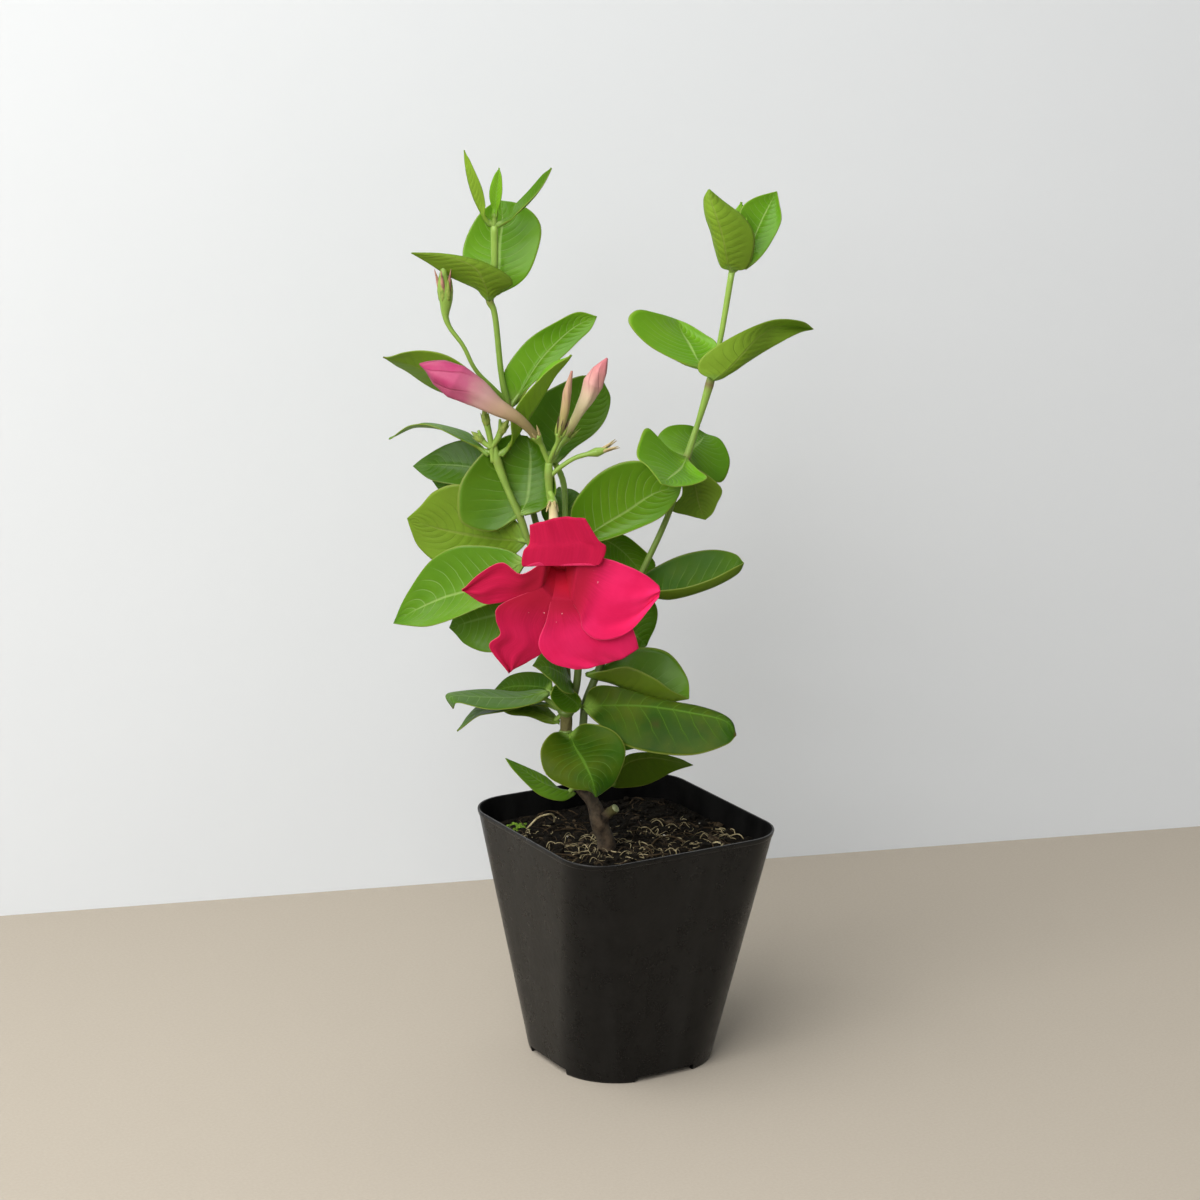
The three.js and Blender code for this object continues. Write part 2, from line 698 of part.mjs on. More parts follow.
const YOUNG_A = {
  points: [
    [-65, -6, 294],
    [-66, -7, 303],
    [-68, -8, 312],
    [-69, -8, 317],
  ],
  radii: [1.4, 1.3, 1.6, 0.6],
};
const YOUNG_B = {
  points: [
    [-66, -7, 301],
    [-62, -8, 308],
    [-62, -9, 315],
  ],
  radii: [1.1, 1.6, 0.6],
};
const YOUNG_C = {
  points: [
    [-66, -7, 301],
    [-70, -6, 304],
    [-72, -6, 309],
  ],
  radii: [1.1, 1.4, 0.5],
};
const BUD_LARGE = {
  points: [
    [-46, -16, 312],
    [-53, -18, 317],
    [-64, -18, 323],
    [-73, -17, 329],
    [-82, -16, 334],
    [-90, -15, 338],
    [-95, -14, 340],
    [-99, -13, 341],
  ],
  radii: [1.6, 2.6, 4.4, 6.6, 8, 6, 2.8, 0.5],
};
const BUD_UPRIGHT = {
  points: [
    [-30, -7, 309],
    [-26, -8, 318],
    [-22, -9, 326],
    [-19, -9, 333],
    [-16, -10, 339],
    [-13, -11, 345],
  ],
  radii: [1.5, 2.3, 3.6, 4.7, 3.4, 0.5],
};
const BUD_SMALL = {
  points: [
    [-33, -16, 311],
    [-32, -17, 321],
    [-31, -17, 330],
    [-29, -18, 340],
  ],
  radii: [1.3, 2.1, 2, 0.5],
};
const TUBE = {
  points: [
    [-37, -18, 276],
    [-36, -24, 270],
    [-35, -32, 263],
    [-34, -38, 257],
    [-34, -42, 254],
  ],
  radii: [1.7, 2.4, 4.2, 5.8, 6.2],
};
const RIGHT_STEM = {
  points: [
    [-26, -12, 147],
    [-23, -9, 155],
    [-21, -7, 166],
    [-20, -7, 178],
    [-16, -6, 189],
    [-2, -2, 223],
    [6, 0, 242],
    [17, 2, 268],
    [25, 3, 295],
    [30, 4, 312],
    [35, 4, 331],
    [39, 5, 349],
    [44, 5, 384],
  ],
  radii: [1.6, 1.9, 1.9, 1.9, 1.9, 1.6, 1.5, 1.4, 1.9, 1.3, 2.1, 1.2, 1.5],
};
const YOUNG_TRUSS = [YOUNG_A, YOUNG_B, YOUNG_C];

// ---- the flower, in the plant's own coordinates ----
const MOUTH = [-32, -52, 248];
const FACING = [0.04, -0.99, -0.1];
const PETAL_THICK = 0.8;
const THROAT_DEPTH = 12;
const THROAT_RISE = 6;
const THROAT_SHARE = 0.2;
// Each lobe, seen from the front, in mm right of and above the middle of the mouth: its back edge, which the
// next lobe covers, its front edge, how far its end bends back, and how far its end bulges.
const LOBES = [
  {
    back: [[-7, 11], [-12, 10], [-17, 8.5], [-16.5, 15.5], [-14, 19], [-14, 27.5]],
    front: [[8, 11], [12.5, 10.5], [17, 10.5], [19.5, 18.5], [16, 22], [10, 32]],
    bend: 2,
    bulge: 1.8,
  },
  {
    back: [[-9, -2], [-19, -7], [-29, -10], [-36, -11], [-45, -6]],
    front: [[-7, 11], [-18, 5], [-27, 10], [-37, 4], [-45, -5]],
    bend: 7,
    bulge: 0,
  },
  {
    back: [[-4, -7], [-4, -13], [-8, -22], [-7, -33], [-14, -40], [-22, -46]],
    front: [[-9, -2], [-27, -10], [-29, -17], [-27, -25], [-32, -32], [-23, -46]],
    bend: 8,
    bulge: 0,
  },
  {
    back: [[5, -8], [16, -14], [30, -19], [34, -26], [36, -33]],
    front: [[-4, -7], [-6, -17], [-9, -29], [-3, -38], [8, -42]],
    bend: 4,
    bulge: 2.5,
  },
  {
    back: [[8, 11], [19, 12], [30, 8], [39, 3], [45, -2]],
    front: [[5, -8], [9, -14], [11, -21], [19, -26], [32, -22], [44, -7]],
    bend: 3,
    bulge: 1,
  },
];

// ---- bodies ----
function potSolid() {
  const outside = loft([
    potRing(0, 0),
    potRing(POT_HEIGHT - RIM_HEIGHT, 0),
    potRing(POT_HEIGHT - RIM_HEIGHT, -RIM_OUT),
    potRing(POT_HEIGHT, -RIM_OUT),
  ]);
  const floorTop = FOOT_HEIGHT + POT_FLOOR;
  const inside = loft([potRing(floorTop, POT_WALL), potRing(POT_HEIGHT + 1, POT_WALL)]);
  const under = loft([potRing(-1, FOOT_WALL), potRing(FOOT_HEIGHT, FOOT_WALL)]);
  const w = FOOT_NOTCH_WIDTH / 2;
  const notches = [
    box(-w, w, -POT_FOOT, POT_FOOT, -1, FOOT_HEIGHT - 0.6),
    box(-POT_FOOT, POT_FOOT, -w, w, -1, FOOT_HEIGHT - 0.6),
  ];
  const drains = [0, 1, 2, 3].map((q) => {
    const a = (q * Math.PI) / 2 + Math.PI / 4;
    const x = DRAIN_OFFSET * Math.SQRT2 * Math.cos(a);
    const y = DRAIN_OFFSET * Math.SQRT2 * Math.sin(a);
    const r = DRAIN_RADIUS;
    return bar([[x, y, -1], [x, y, 3], [x, y, floorTop + 1]], [r, r, r], 12, 1);
  });
  return cut(outside, [inside, under, ...notches, ...drains]);
}

// The mix fills the pot and its top is uneven.
function mixSolid(trunk) {
  const bottom = FOOT_HEIGHT + POT_FLOOR + GAP;
  const inwards = POT_WALL + GAP;
  const rings = [potRing(bottom, inwards), potRing(MIX_TOP - 2, inwards)];
  for (let k = 0; k <= 5; k++) {
    const share = 1 - k / 6;
    const ring = potRing(MIX_TOP, inwards + 0.5).map((p, i) => {
      const bump = MIX_BUMP * (2 * hash(31 * k + i) - 1) * share;
      return [p[0] * share, p[1] * share, MIX_TOP + bump];
    });
    rings.push(ring);
  }
  return cut(loft(rings), [trunk]);
}

// A ring of leaf bases round a stem at one of its points.
function collar(stem, index, radius, height) {
  const [x, y, z] = stem.points[index];
  const points = [[x, y, z - height], [x, y, z], [x, y, z + height]];
  return bar(points, [radius * 0.8, radius, radius * 0.8], 10, 2);
}

// The same bar, larger all round by the gap that its neighbours keep.
function grown(stem, sides = STEM_SIDES) {
  const p = stem.points;
  const n = p.length - 1;
  const past = (a, b) => V(a).add(V(a).sub(V(b)).normalize().multiplyScalar(GAP)).toArray();
  const points = [past(p[0], p[1]), ...p.slice(1, n), past(p[n], p[n - 1])];
  return bar(points, stem.radii, sides, 2, GAP);
}

// A bud or a flower tube set into the end of its stalk, as deep as the calyx round it.
function seated(stalkBar, bud) {
  const end = V(stalkBar.points[stalkBar.points.length - 1]);
  const before = V(stalkBar.points[stalkBar.points.length - 2]);
  const start = end.clone().add(before.sub(end).normalize().multiplyScalar(CALYX_DEPTH));
  return { points: [start.toArray(), ...bud.points.slice(1)], radii: bud.radii };
}

function stemSolid(stem, grow = 0, sides = STEM_SIDES) {
  return bar(stem.points, stem.radii, sides, 2, grow);
}

// The stalk of a leaf, from its node, or else from the nearest point of its stem, into the base of the blade.
function stalk(stem, leaf, node) {
  const line = new THREE.CatmullRomCurve3(stem.points.map(V), false, "centripetal");
  const surface = surfaceOf(leaf);
  const base = surface(0, 0);
  let near = node ? V(node) : line.getPoint(0);
  for (let k = 1; k <= 200 && !node; k++) {
    const p = line.getPoint(k / 200);
    if (p.distanceTo(base) < near.distanceTo(base)) near = p;
  }
  const inside = surface(0.08, 0);
  const middle = near.clone().lerp(inside, 0.55);
  return bar([near, middle, inside].map((p) => p.toArray()), [1.4, 1.2, 1.0], 4, 1);
}

// The leaves of a stem with their stalks. A leaf that grows straight from a twig has none.
function leavesOf(stem, leaves, node) {
  return leaves.flatMap((leaf) => {
    const blade = leafSolid(leaf);
    return leaf.twig ? [blade] : [blade, stalk(stem, leaf, node)];
  });
}

// The largest of a body's pieces: the chips that a cut leaves are dropped.
function largest(body) {
  return body.decompose().reduce((a, b) => (a.volume() > b.volume() ? a : b));
}

const group = new THREE.Group();
const plant = new THREE.Group();
plant.rotation.z = THREE.MathUtils.degToRad(PLANT_TURN);
group.add(plant);

// Turns a solid about Z by the plant's turn, so that a body of the plant can cut one of the pot.
function turned(body) {
  const mesh = body.getMesh();
  const a = THREE.MathUtils.degToRad(PLANT_TURN);
  const positions = [];
  for (let i = 0; i < mesh.numVert; i++) {
    const [x, y, z] = mesh.vertProperties.subarray(3 * i, 3 * i + 3);
    positions.push(x * Math.cos(a) - y * Math.sin(a), x * Math.sin(a) + y * Math.cos(a), z);
  }
  return solid(positions, mesh.triVerts);
}

function add(parent, name, body, color, roughness = 0.55) {
  const mesh = body.getMesh();
  const geometry = new THREE.BufferGeometry();
  geometry.setAttribute("position", new THREE.BufferAttribute(new Float32Array(mesh.vertProperties), 3));
  geometry.setIndex(new THREE.BufferAttribute(new Uint32Array(mesh.triVerts), 1));
  geometry.computeVertexNormals();
  const made = new THREE.Mesh(geometry, new THREE.MeshStandardMaterial({ color, roughness }));
  made.name = name;
  parent.add(made);
}

// The trunk and its stub.
const trunkGrown = stemSolid(TRUNK, GAP);
add(plant, "trunk", stemSolid(TRUNK).add(stemSolid(STUB)), BARK, 0.85);
add(group, "pot", potSolid(), BLACK_PLASTIC, 0.4);
add(group, "potting_mix", mixSolid(turned(trunkGrown)), MIX_BROWN, 0.95);

const rightGrown = stemSolid(RIGHT_STEM, GAP);
const topLeftGrown = stemSolid(TOP_LEFT_STEM, GAP);
const middleGrown = stemSolid(MIDDLE_STEM, GAP);
const grownStems = [rightGrown, topLeftGrown, middleGrown];

// Leaf pairs that sit on the trunk by a ring round it.
function pairOnTrunk(leaves, index, clear) {
  const ring = collar(TRUNK, index, TRUNK.radii[index] + 1.8, 2.5);
  return cut(join([ring, ...leavesOf(TRUNK, leaves, TRUNK.points[index])]), clear);
}
add(plant, "leaf_pair_first", pairOnTrunk(FIRST_PAIR, 4, [trunkGrown]), LEAF_GREEN);
add(plant, "leaf_pair_second", pairOnTrunk(SECOND_PAIR, 6, [trunkGrown]), LEAF_GREEN);
add(plant, "leaf_cluster_fork", pairOnTrunk(LOW_LEAVES, 7, [trunkGrown, ...grownStems]), LEAF_GREEN);

// The green shoots, each with its leaves as one body. A shoot is cut clear of the stems named after it.
function shoot(stem, leaves, twigs, clear) {
  const twigSolids = twigs.map((t) => stemSolid(t, 0, 6));
  return cut(join([stemSolid(stem), ...twigSolids, ...leavesOf(stem, leaves)]), clear);
}
const largeBud = seated(STALK_LARGE, BUD_LARGE);
const uprightBud = seated(STALK_UPRIGHT, BUD_UPRIGHT);
const smallBud = seated(STALK_SMALL, BUD_SMALL);
const tube = seated(STALK_OPEN, TUBE);
const grownBuds = [largeBud, uprightBud, smallBud, tube].map((bud) => grown(bud, 10));
const tubeGrown = grownBuds[3];
const trussTwigs = [BACK_TWIG, STALK_LARGE, STALK_UPRIGHT, STALK_SMALL, SPENT_RIGHT, STALK_OPEN];
add(plant, "shoot_right", shoot(RIGHT_STEM, RIGHT_LEAVES, [], [trunkGrown]), YOUNG_GREEN);
const topLeft = shoot(TOP_LEFT_STEM, TOP_LEFT_LEAVES, [SPENT_LEFT], [trunkGrown, rightGrown]);
add(plant, "shoot_top_left", topLeft, YOUNG_GREEN);
const middleClear = [trunkGrown, rightGrown, topLeftGrown, ...grownBuds];
add(plant, "shoot_middle", largest(shoot(MIDDLE_STEM, MIDDLE_LEAVES, trussTwigs, middleClear)), LEAF_GREEN);
const grownTwigs = [BACK_TWIG, SPENT_RIGHT, STALK_OPEN].map((twig) => grown(twig, 12));
const leftClear = [topLeftGrown, middleGrown, ...grownTwigs, tubeGrown];
add(plant, "shoot_left", largest(shoot(LEFT_STEM, LEFT_LEAVES, YOUNG_TRUSS, leftClear)), YOUNG_GREEN);

// One lobe of the open flower. It starts deep in the throat, opens outwards at the mouth, bends back and lies
// over the next lobe's back edge.
function lobeSurface(lobe) {
  const facing = V(FACING).normalize();
  const right = new THREE.Vector3(0, 0, 1).cross(facing).normalize();
  const up = facing.clone().cross(right);
  const [back, front] = [lobe.back, lobe.front].map((edge) => {
    const points = edge.map(([x, y]) => new THREE.Vector3(x, y, 0));
    return new THREE.CatmullRomCurve3(points, false, "catmullrom");
  });
  const middle = V(MOUTH);
  const at = (x, y, forward) =>
    middle.clone().addScaledVector(right, x).addScaledVector(up, y).addScaledVector(facing, forward);
  return (t, u) => {
    const out = Math.max(0, (t - THROAT_SHARE) / (1 - THROAT_SHARE));
    const inside = Math.max(0, 1 - t / THROAT_SHARE);
    const p = back.getPoint(out).lerp(front.getPoint(out), (1 + u * (1.04 + 0.15 * inside)) / 2);
    p.multiplyScalar(1 + (lobe.bulge * out * out * (1 - u * u)) / p.length());
    p.multiplyScalar(1 - 0.5 * inside);
    const open = smooth(0, 0.3, out);
    const ruffle = 0.8 * Math.sin(5 * u + 4 * out) * out;
    const rise = 1.5 * open - lobe.bend * out * out + ruffle + 1.3 * u * open;
    return at(p.x, p.y + THROAT_RISE * inside * inside, rise - THROAT_DEPTH * Math.pow(inside, 1.3));
  };
}

function corollaSolid() {
  const points = tube.points;
  const end = V(points[4]).lerp(V(points[3]), -0.5).toArray();
  const hollow = bar([points[2], points[3], points[4], end], [2.4, 4.6, 5.2, 5.4], 14, 2);
  const lobes = LOBES.map((lobe) => blade(lobeSurface(lobe), () => PETAL_THICK, 8, 4));
  const funnel = bar(points, tube.radii, 14, 2).subtract(hollow);
  return largest(join([funnel, ...lobes]));
}
add(plant, "corolla", corollaSolid(), FLOWER_PINK, 0.6);

add(plant, "bud_large", bar(largeBud.points, largeBud.radii, 10, 2), BUD_PINK);
add(plant, "bud_upright", bar(uprightBud.points, uprightBud.radii, 10, 2), BUD_PINK);
add(plant, "bud_small", bar(smallBud.points, smallBud.radii, 8, 2), BUD_CREAM);

export default group;
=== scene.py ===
"""Mandevilla in a square nursery pot: the looks, in the frame of the CAD model (metres, +Z up)."""

import math

import bpy
import numpy as np
from mathutils import Matrix, Vector


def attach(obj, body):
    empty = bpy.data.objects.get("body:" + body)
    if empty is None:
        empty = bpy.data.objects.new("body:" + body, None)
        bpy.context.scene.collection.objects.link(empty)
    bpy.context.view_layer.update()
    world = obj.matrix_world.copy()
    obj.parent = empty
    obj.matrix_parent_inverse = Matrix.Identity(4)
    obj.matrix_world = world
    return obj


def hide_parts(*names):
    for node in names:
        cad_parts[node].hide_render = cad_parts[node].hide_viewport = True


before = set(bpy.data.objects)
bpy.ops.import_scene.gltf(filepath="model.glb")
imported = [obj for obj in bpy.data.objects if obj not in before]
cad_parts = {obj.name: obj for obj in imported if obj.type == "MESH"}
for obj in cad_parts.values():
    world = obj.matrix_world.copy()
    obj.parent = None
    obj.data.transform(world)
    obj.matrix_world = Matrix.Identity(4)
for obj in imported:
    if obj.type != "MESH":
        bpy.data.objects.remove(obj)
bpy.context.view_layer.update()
scene = bpy.context.scene
rng = np.random.default_rng(7)
MM = 0.001

# ---- sizes, in mm ----
POT_TOP, POT_FOOT, POT_HEIGHT = 115, 82, 119
POT_TOP_CORNER, POT_FOOT_CORNER = 21, 31
POT_WALL, POT_FLOOR = 1.2, 2
RIM_OUT, RIM_HEIGHT = 0.35, 2.5
FOOT_HEIGHT, FOOT_NOTCH_WIDTH, FOOT_WALL = 3.6, 33, 3
DRAIN_RADIUS, DRAIN_OFFSET = 5, 18
MIX_TOP = 108
MIX_HALF = 54  # half the width that litter on the mix may cover
GAP = 0.35  # between the mix and the pot
CALYX_DEPTH = 1.6  # how deep a bud stands in its calyx
PETIOLE_RADIUS = 1.3
PETIOLE_SHARE = 0.1  # of a leaf's length
LEAF_THICK, RIB_THICK, STALK_THICK = 0.6, 0.8, 1.0  # the last two are added to the first
BASE_HALF = 0.7  # half the width of a draped leaf at its base
CLASP_OUT, CLASP_HALF = 1.4, 2.2  # of the ring by which low leaves clasp the trunk
STALK_RADII = [1.5, 1.25, 1.0]  # of the short stalk from a stem to a leaf
CAP_RISE = 0.35  # how far a bar's ends stand out, as a share of its radius

# ---- counts ----
CRUMBS, PERLITES, MOSS_BITS = 2100, 12, 150
LOOSE_FIBRES, TUFT_FIBRES = 170, 19
FIBRE_WANDER = 0.26

PLANT_TURN = -31.7
TURN = math.radians(PLANT_TURN)
TO_ROW = np.array(
    [[math.cos(TURN), -math.sin(TURN), 0], [math.sin(TURN), math.cos(TURN), 0], [0, 0, 1]]
)

# ---- tables of the plant ----
# In mm: x to the right of its front, y back and z up. TO_ROW turns them into the frame of the CAD model.
def straight(base, tip, up, width, **bends):
    """A leaf with a symmetric blade. up is its upper side, bends its fold, arch, cup, wave and hook."""
    return {"base": base, "tip": tip, "up": up, "width": width, **bends}


def draped(base, tip, mid, left, right, **more):
    """A leaf drawn by what lies between base and tip on its midrib, its left and its right edge."""
    lines = {"mid": mid, "left": left, "right": right}
    return {key: [base, *line, tip] for key, line in lines.items()} | more


def stem(radii, *points):
    return {"points": list(points), "radii": radii}


# dry: brown places of a leaf, each with its place along and across it, its length and its width, as shares.
TOP_LEFT_LEAVES = [
    straight([-68, 5, 403], [-80, 0, 438], [0.9, 0.3, 0.2], 11, fold=45, arch=-3, wave=0.3, hook=0),
    straight([-66, 4, 407], [-64, 2, 430], [-0.3, -1, 0.1], 7, fold=30, arch=0, wave=0.2, hook=0),
    straight([-65, 4, 403], [-40, -4, 431], [-0.6, -0.5, 0.6], 9, fold=35, arch=-4, wave=0.4, hook=0),
    straight(
        [-60, 11, 318], [-117, 12, 341], [0.3, 0.65, 0.7], 32, arch=0, fold=8,
        dry=[(1.0, 0.0, 0.02, 2.0)],
    ),
    straight([-41, 4, 223], [-86, 8, 210], [-0.1, -0.85, 0.4], 36, arch=2),
    draped(
        [-68, 6, 368], [-104, -4, 391],
        [[-70, 1, 376], [-75, -3, 385], [-89, -4, 390]],
        [[-64, 6, 372], [-58, 5, 376], [-61, 4, 381], [-73, 2, 387], [-90, -1, 390]],
        [[-73, 5, 373], [-79, 4, 376], [-87, 2, 380], [-96, -1, 386]],
    ),
    draped(
        [-57, 12, 317], [-18, 15, 360],
        [[-47, 14, 335], [-38, 16, 346], [-28, 16, 355]],
        [[-61, 12, 329], [-58, 13, 338], [-49, 14, 349], [-37, 14, 357], [-27, 14, 362]],
        [[-51, 12, 325], [-42, 13, 334], [-32, 14, 343], [-26, 14, 349], [-21, 14, 354]],
    ),
    draped(
        [-65, 10, 370], [-64, 26, 412],
        [[-64, 15, 382], [-64, 20, 392], [-63, 23, 403]],
        [[-73, 13, 375], [-80, 15, 384], [-80, 18, 393], [-75, 21, 404], [-69, 23, 410]],
        [[-55, 13, 375], [-49, 15, 383], [-45, 18, 398], [-48, 21, 406], [-56, 23, 411]],
    ),
    draped(
        [-65, 4, 286], [-104, 18, 286],
        [[-76, 9, 288], [-91, 13, 288]],
        [[-72, 3, 281], [-85, 5, 281], [-96, 10, 282]],
        [[-70, 9, 297], [-78, 13, 300], [-88, 16, 297], [-99, 18, 290]],
    ),
    draped(
        [-74, 11, 278], [-95, 23, 278],
        [[-85, 17, 278]],
        [[-79, 15, 274], [-90, 19, 274]],
        [[-79, 15, 280], [-89, 19, 280]],
    ),
]
LEFT_LEAVES = [
    straight([-61, -6, 297], [-31, -4, 346], [-0.8, 0.1, 0.5], 24, fold=35, arch=-1),
    straight([-67, -6, 297], [-114, 10, 304], [0.1, 0.12, 1], 24, arch=7, fold=6, hook=3),
    draped(
        [-52, -9, 269], [-50, 3, 305],
        [[-49, -5, 276], [-48, -1, 287], [-48, 1, 297]],
        [[-64, -10, 262], [-78, -10, 265], [-81, -10, 274], [-79, -8, 286], [-68, -5, 300], [-58, -1, 306]],
        [[-42, -11, 273], [-36, -12, 281], [-38, -9, 292], [-43, -4, 301]],
    ),
    draped(
        [-48, -7, 257], [-106, 8, 263],
        [[-64, 0, 256], [-78, 4, 257], [-92, 7, 259]],
        [[-58, -4, 269], [-70, -1, 277], [-82, 2, 281], [-93, 4, 277], [-100, 6, 269]],
        [[-58, -2, 247], [-74, 3, 242], [-90, 6, 242], [-100, 8, 249], [-104, 8, 257]],
    ),
    draped(
        [-49, -16, 249], [-112, 2, 213],
        [[-63, -12, 241], [-76, -9, 233], [-88, -5, 228], [-101, -2, 221]],
        [[-59, -16, 233], [-74, -15, 225], [-86, -13, 219], [-96, -9, 215], [-106, -4, 214]],
        [[-58, -12, 253], [-72, -8, 254], [-84, -5, 252], [-95, -2, 244], [-106, 0, 227]],
    ),
]
MIDDLE_LEAVES = [
    straight([-28, 10, 253], [-35, 26, 276], [0, -0.9, 0.3], 22, arch=3),
    straight([-11, 10, 220], [9, 10, 202], [0.05, -0.99, 0.05], 36, arch=-3),
    draped(
        [-37, 18, 288], [-14, 28, 326],
        [[-33, 22, 298], [-26, 25, 309], [-19, 27, 319]],
        [[-45, 19, 296], [-50, 20, 306], [-48, 21, 317], [-38, 23, 324], [-24, 25, 330]],
        [[-29, 21, 295], [-19, 24, 302], [-13, 26, 310], [-11, 27, 319]],
        twig=True,
    ),
    draped(
        [-26, -4, 255], [23, -12, 286],
        [[-14, -4, 264], [-2, -5, 272], [10, -8, 281]],
        [[-28, -6, 271], [-21, -8, 284], [-11, -10, 293], [1, -11, 297], [14, -12, 294]],
        [[-14, -7, 258], [1, -9, 264], [14, -11, 271], [21, -12, 280]],
    ),
    draped(
        [-20, 4, 259], [9, 16, 233],
        [[-10, 10, 253], [-2, 14, 246]],
        [[-11, 6, 257], [-3, 9, 256], [7, 11, 248], [12, 14, 241]],
        [[-16, 7, 248], [-7, 10, 236], [2, 13, 231]],
    ),
]
RIGHT_LEAVES = [
    straight([44, 6, 385], [48, 16, 415], [0, -1, 0], 9, arch=1),
    draped(
        [25, 2, 296], [13, -32, 291],
        [[22, -8, 293], [18, -19, 292]],
        [[30, -8, 293], [34, -16, 291], [27, -23, 289], [19, -28, 289]],
        [[17, -6, 302], [7, -14, 313], [3, -20, 308], [2, -25, 302], [7, -29, 298]],
    ),
    draped(
        [25, 6, 295], [35, 30, 302],
        [[28, 14, 298], [32, 22, 300]],
        [[17, 11, 298], [12, 16, 302], [17, 20, 307], [27, 25, 307]],
        [[33, 11, 286], [42, 16, 282], [46, 20, 291], [42, 25, 300]],
    ),
    draped(
        [27, 6, 291], [35, 8, 265],
        [[30, 8, 281], [32, 9, 272]],
        [[24, 6, 285], [24, 7, 277], [19, 7, 270], [27, 8, 267]],
        [[35, 6, 287], [42, 7, 280], [40, 7, 273], [38, 8, 268]],
    ),
    draped(
        [7, -4, 233], [53, -10, 249],
        [[15, -5, 230], [24, -6, 232], [39, -8, 238], [50, -9, 244]],
        [[6, 3, 238], [15, 8, 243], [27, 9, 248], [39, 6, 251], [49, -1, 251]],
        [[13, -10, 235], [25, -15, 238], [39, -16, 243], [49, -14, 248]],
    ),
    draped(
        [-20, -9, 193], [29, -16, 184],
        [[-6, -11, 189], [6, -12, 184], [18, -14, 182]],
        [[-10, -2, 196], [3, 2, 203], [18, 0, 202], [28, -6, 192]],
        [[-11, -15, 197], [0, -19, 200], [11, -21, 196], [20, -19, 189]],
    ),
    draped(
        [-21, -11, 177], [50, -54, 178],
        [[-6, -20, 181], [11, -28, 183], [30, -37, 183], [45, -45, 182]],
        [[-17, -13, 187], [-5, -17, 189], [13, -22, 184], [31, -31, 184], [47, -42, 182]],
        [[-14, -24, 174], [-3, -36, 168], [12, -44, 166], [30, -50, 167], [45, -53, 173]],
        dry=[(1.0, 0.0, 0.03, 2.0), (0.44, 0.45, 0.014, 0.05)],
    ),
    draped(
        [-14, -4, 166], [4, 12, 150],
        [[-5, 4, 158]],
        [[-9, 1, 164], [0, 7, 156]],
        [[-9, 1, 158], [-2, 7, 151]],
    ),
    draped(
        [31, 4, 338], [19, 24, 358],
        [[28, 9, 343], [25, 14, 348], [22, 19, 352]],
        [[21, 0, 342], [6, -1, 350], [-3, 0, 360], [1, 5, 365], [11, 14, 362]],
        [[37, 10, 340], [38, 16, 348], [32, 20, 352], [25, 22, 356]],
    ),
    draped(
        [36, -1, 334], [85, 38, 352],
        [[43, 0, 339], [50, 3, 346], [58, 11, 353], [69, 23, 356]],
        [[43, 3, 336], [54, 9, 342], [66, 17, 348], [77, 27, 352]],
        [[30, -1, 338], [32, 0, 345], [46, 4, 354], [64, 13, 360], [78, 24, 358]],
    ),
    draped(
        [43, 4, 385], [32, -4, 423],
        [[41, -1, 392], [39, -4, 401], [36, -6, 410], [33, -5, 418]],
        [[50, 4, 386], [53, 4, 393], [53, 3, 402], [48, 1, 410], [39, -1, 417]],
        [[39, 4, 387], [36, 4, 395], [34, 3, 402], [31, 1, 410], [30, -1, 418]],
    ),
    draped(
        [50, 6, 385], [64, 16, 420],
        [[53, 11, 396], [57, 14, 406], [61, 16, 414]],
        [[48, 8, 390], [47, 10, 402], [48, 12, 412], [54, 14, 417]],
        [[57, 8, 391], [62, 10, 398], [66, 12, 407], [65, 14, 415]],
    ),
]
LOW_LEAVES = [
    straight([-26, -10, 186], [-43, -28, 203], [0.1, -0.6, 0.8], 26, arch=3),
    straight([-34, -6, 176], [-81, -14, 168], [0, 0.02, 1], 24, arch=5, hook=3),
    draped(
        [-37, -12, 184], [-82, -24, 179],
        [[-52, -15, 182], [-69, -18, 183], [-83, -21, 184]],
        [[-42, -23, 183], [-53, -30, 182], [-66, -33, 182], [-79, -30, 184]],
        [[-43, -7, 184], [-53, -4, 182], [-66, -4, 183], [-79, -8, 183], [-86, -15, 183]],
        dry=[(1.0, 0.0, 0.055, 2.0)],
    ),
    draped(
        [-36, 2, 182], [-66, 26, 172],
        [[-46, 10, 181], [-57, 18, 178]],
        [[-45, 8, 174], [-56, 16, 172]],
        [[-38, 9, 186], [-48, 16, 186], [-58, 21, 182]],
    ),
    draped(
        [-32, -10, 169], [-61, -6, 174],
        [[-42, -9, 173], [-52, -7, 174]],
        [[-40, -2, 175], [-51, 0, 176]],
        [[-38, -10, 169], [-47, -10, 172], [-55, -8, 172]],
    ),
    draped(
        [-22, -13, 178], [-35, -28, 192],
        [[-26, -15, 182], [-31, -20, 187]],
        [[-25, -18, 177], [-31, -22, 179], [-36, -26, 186]],
        [[-23, -18, 184], [-28, -22, 190], [-32, -26, 193]],
    ),
]
FIRST_PAIR = [
    draped(
        [-7, -8, 138], [33, 22, 139],
        [[0, 0, 146], [12, 7, 147], [24, 14, 143]],
        [[-2, -5, 136], [11, 1, 136], [24, 10, 140]],
        [[-1, 2, 148], [12, 10, 148], [25, 17, 144]],
    ),
    draped(
        [-24, -15, 135], [-57, -32, 158],
        [[-37, -21, 141], [-47, -26, 149]],
        [[-30, -21, 134], [-39, -27, 138], [-47, -30, 145], [-53, -32, 152]],
        [[-31, -16, 137], [-39, -18, 145], [-47, -24, 151]],
    ),
]
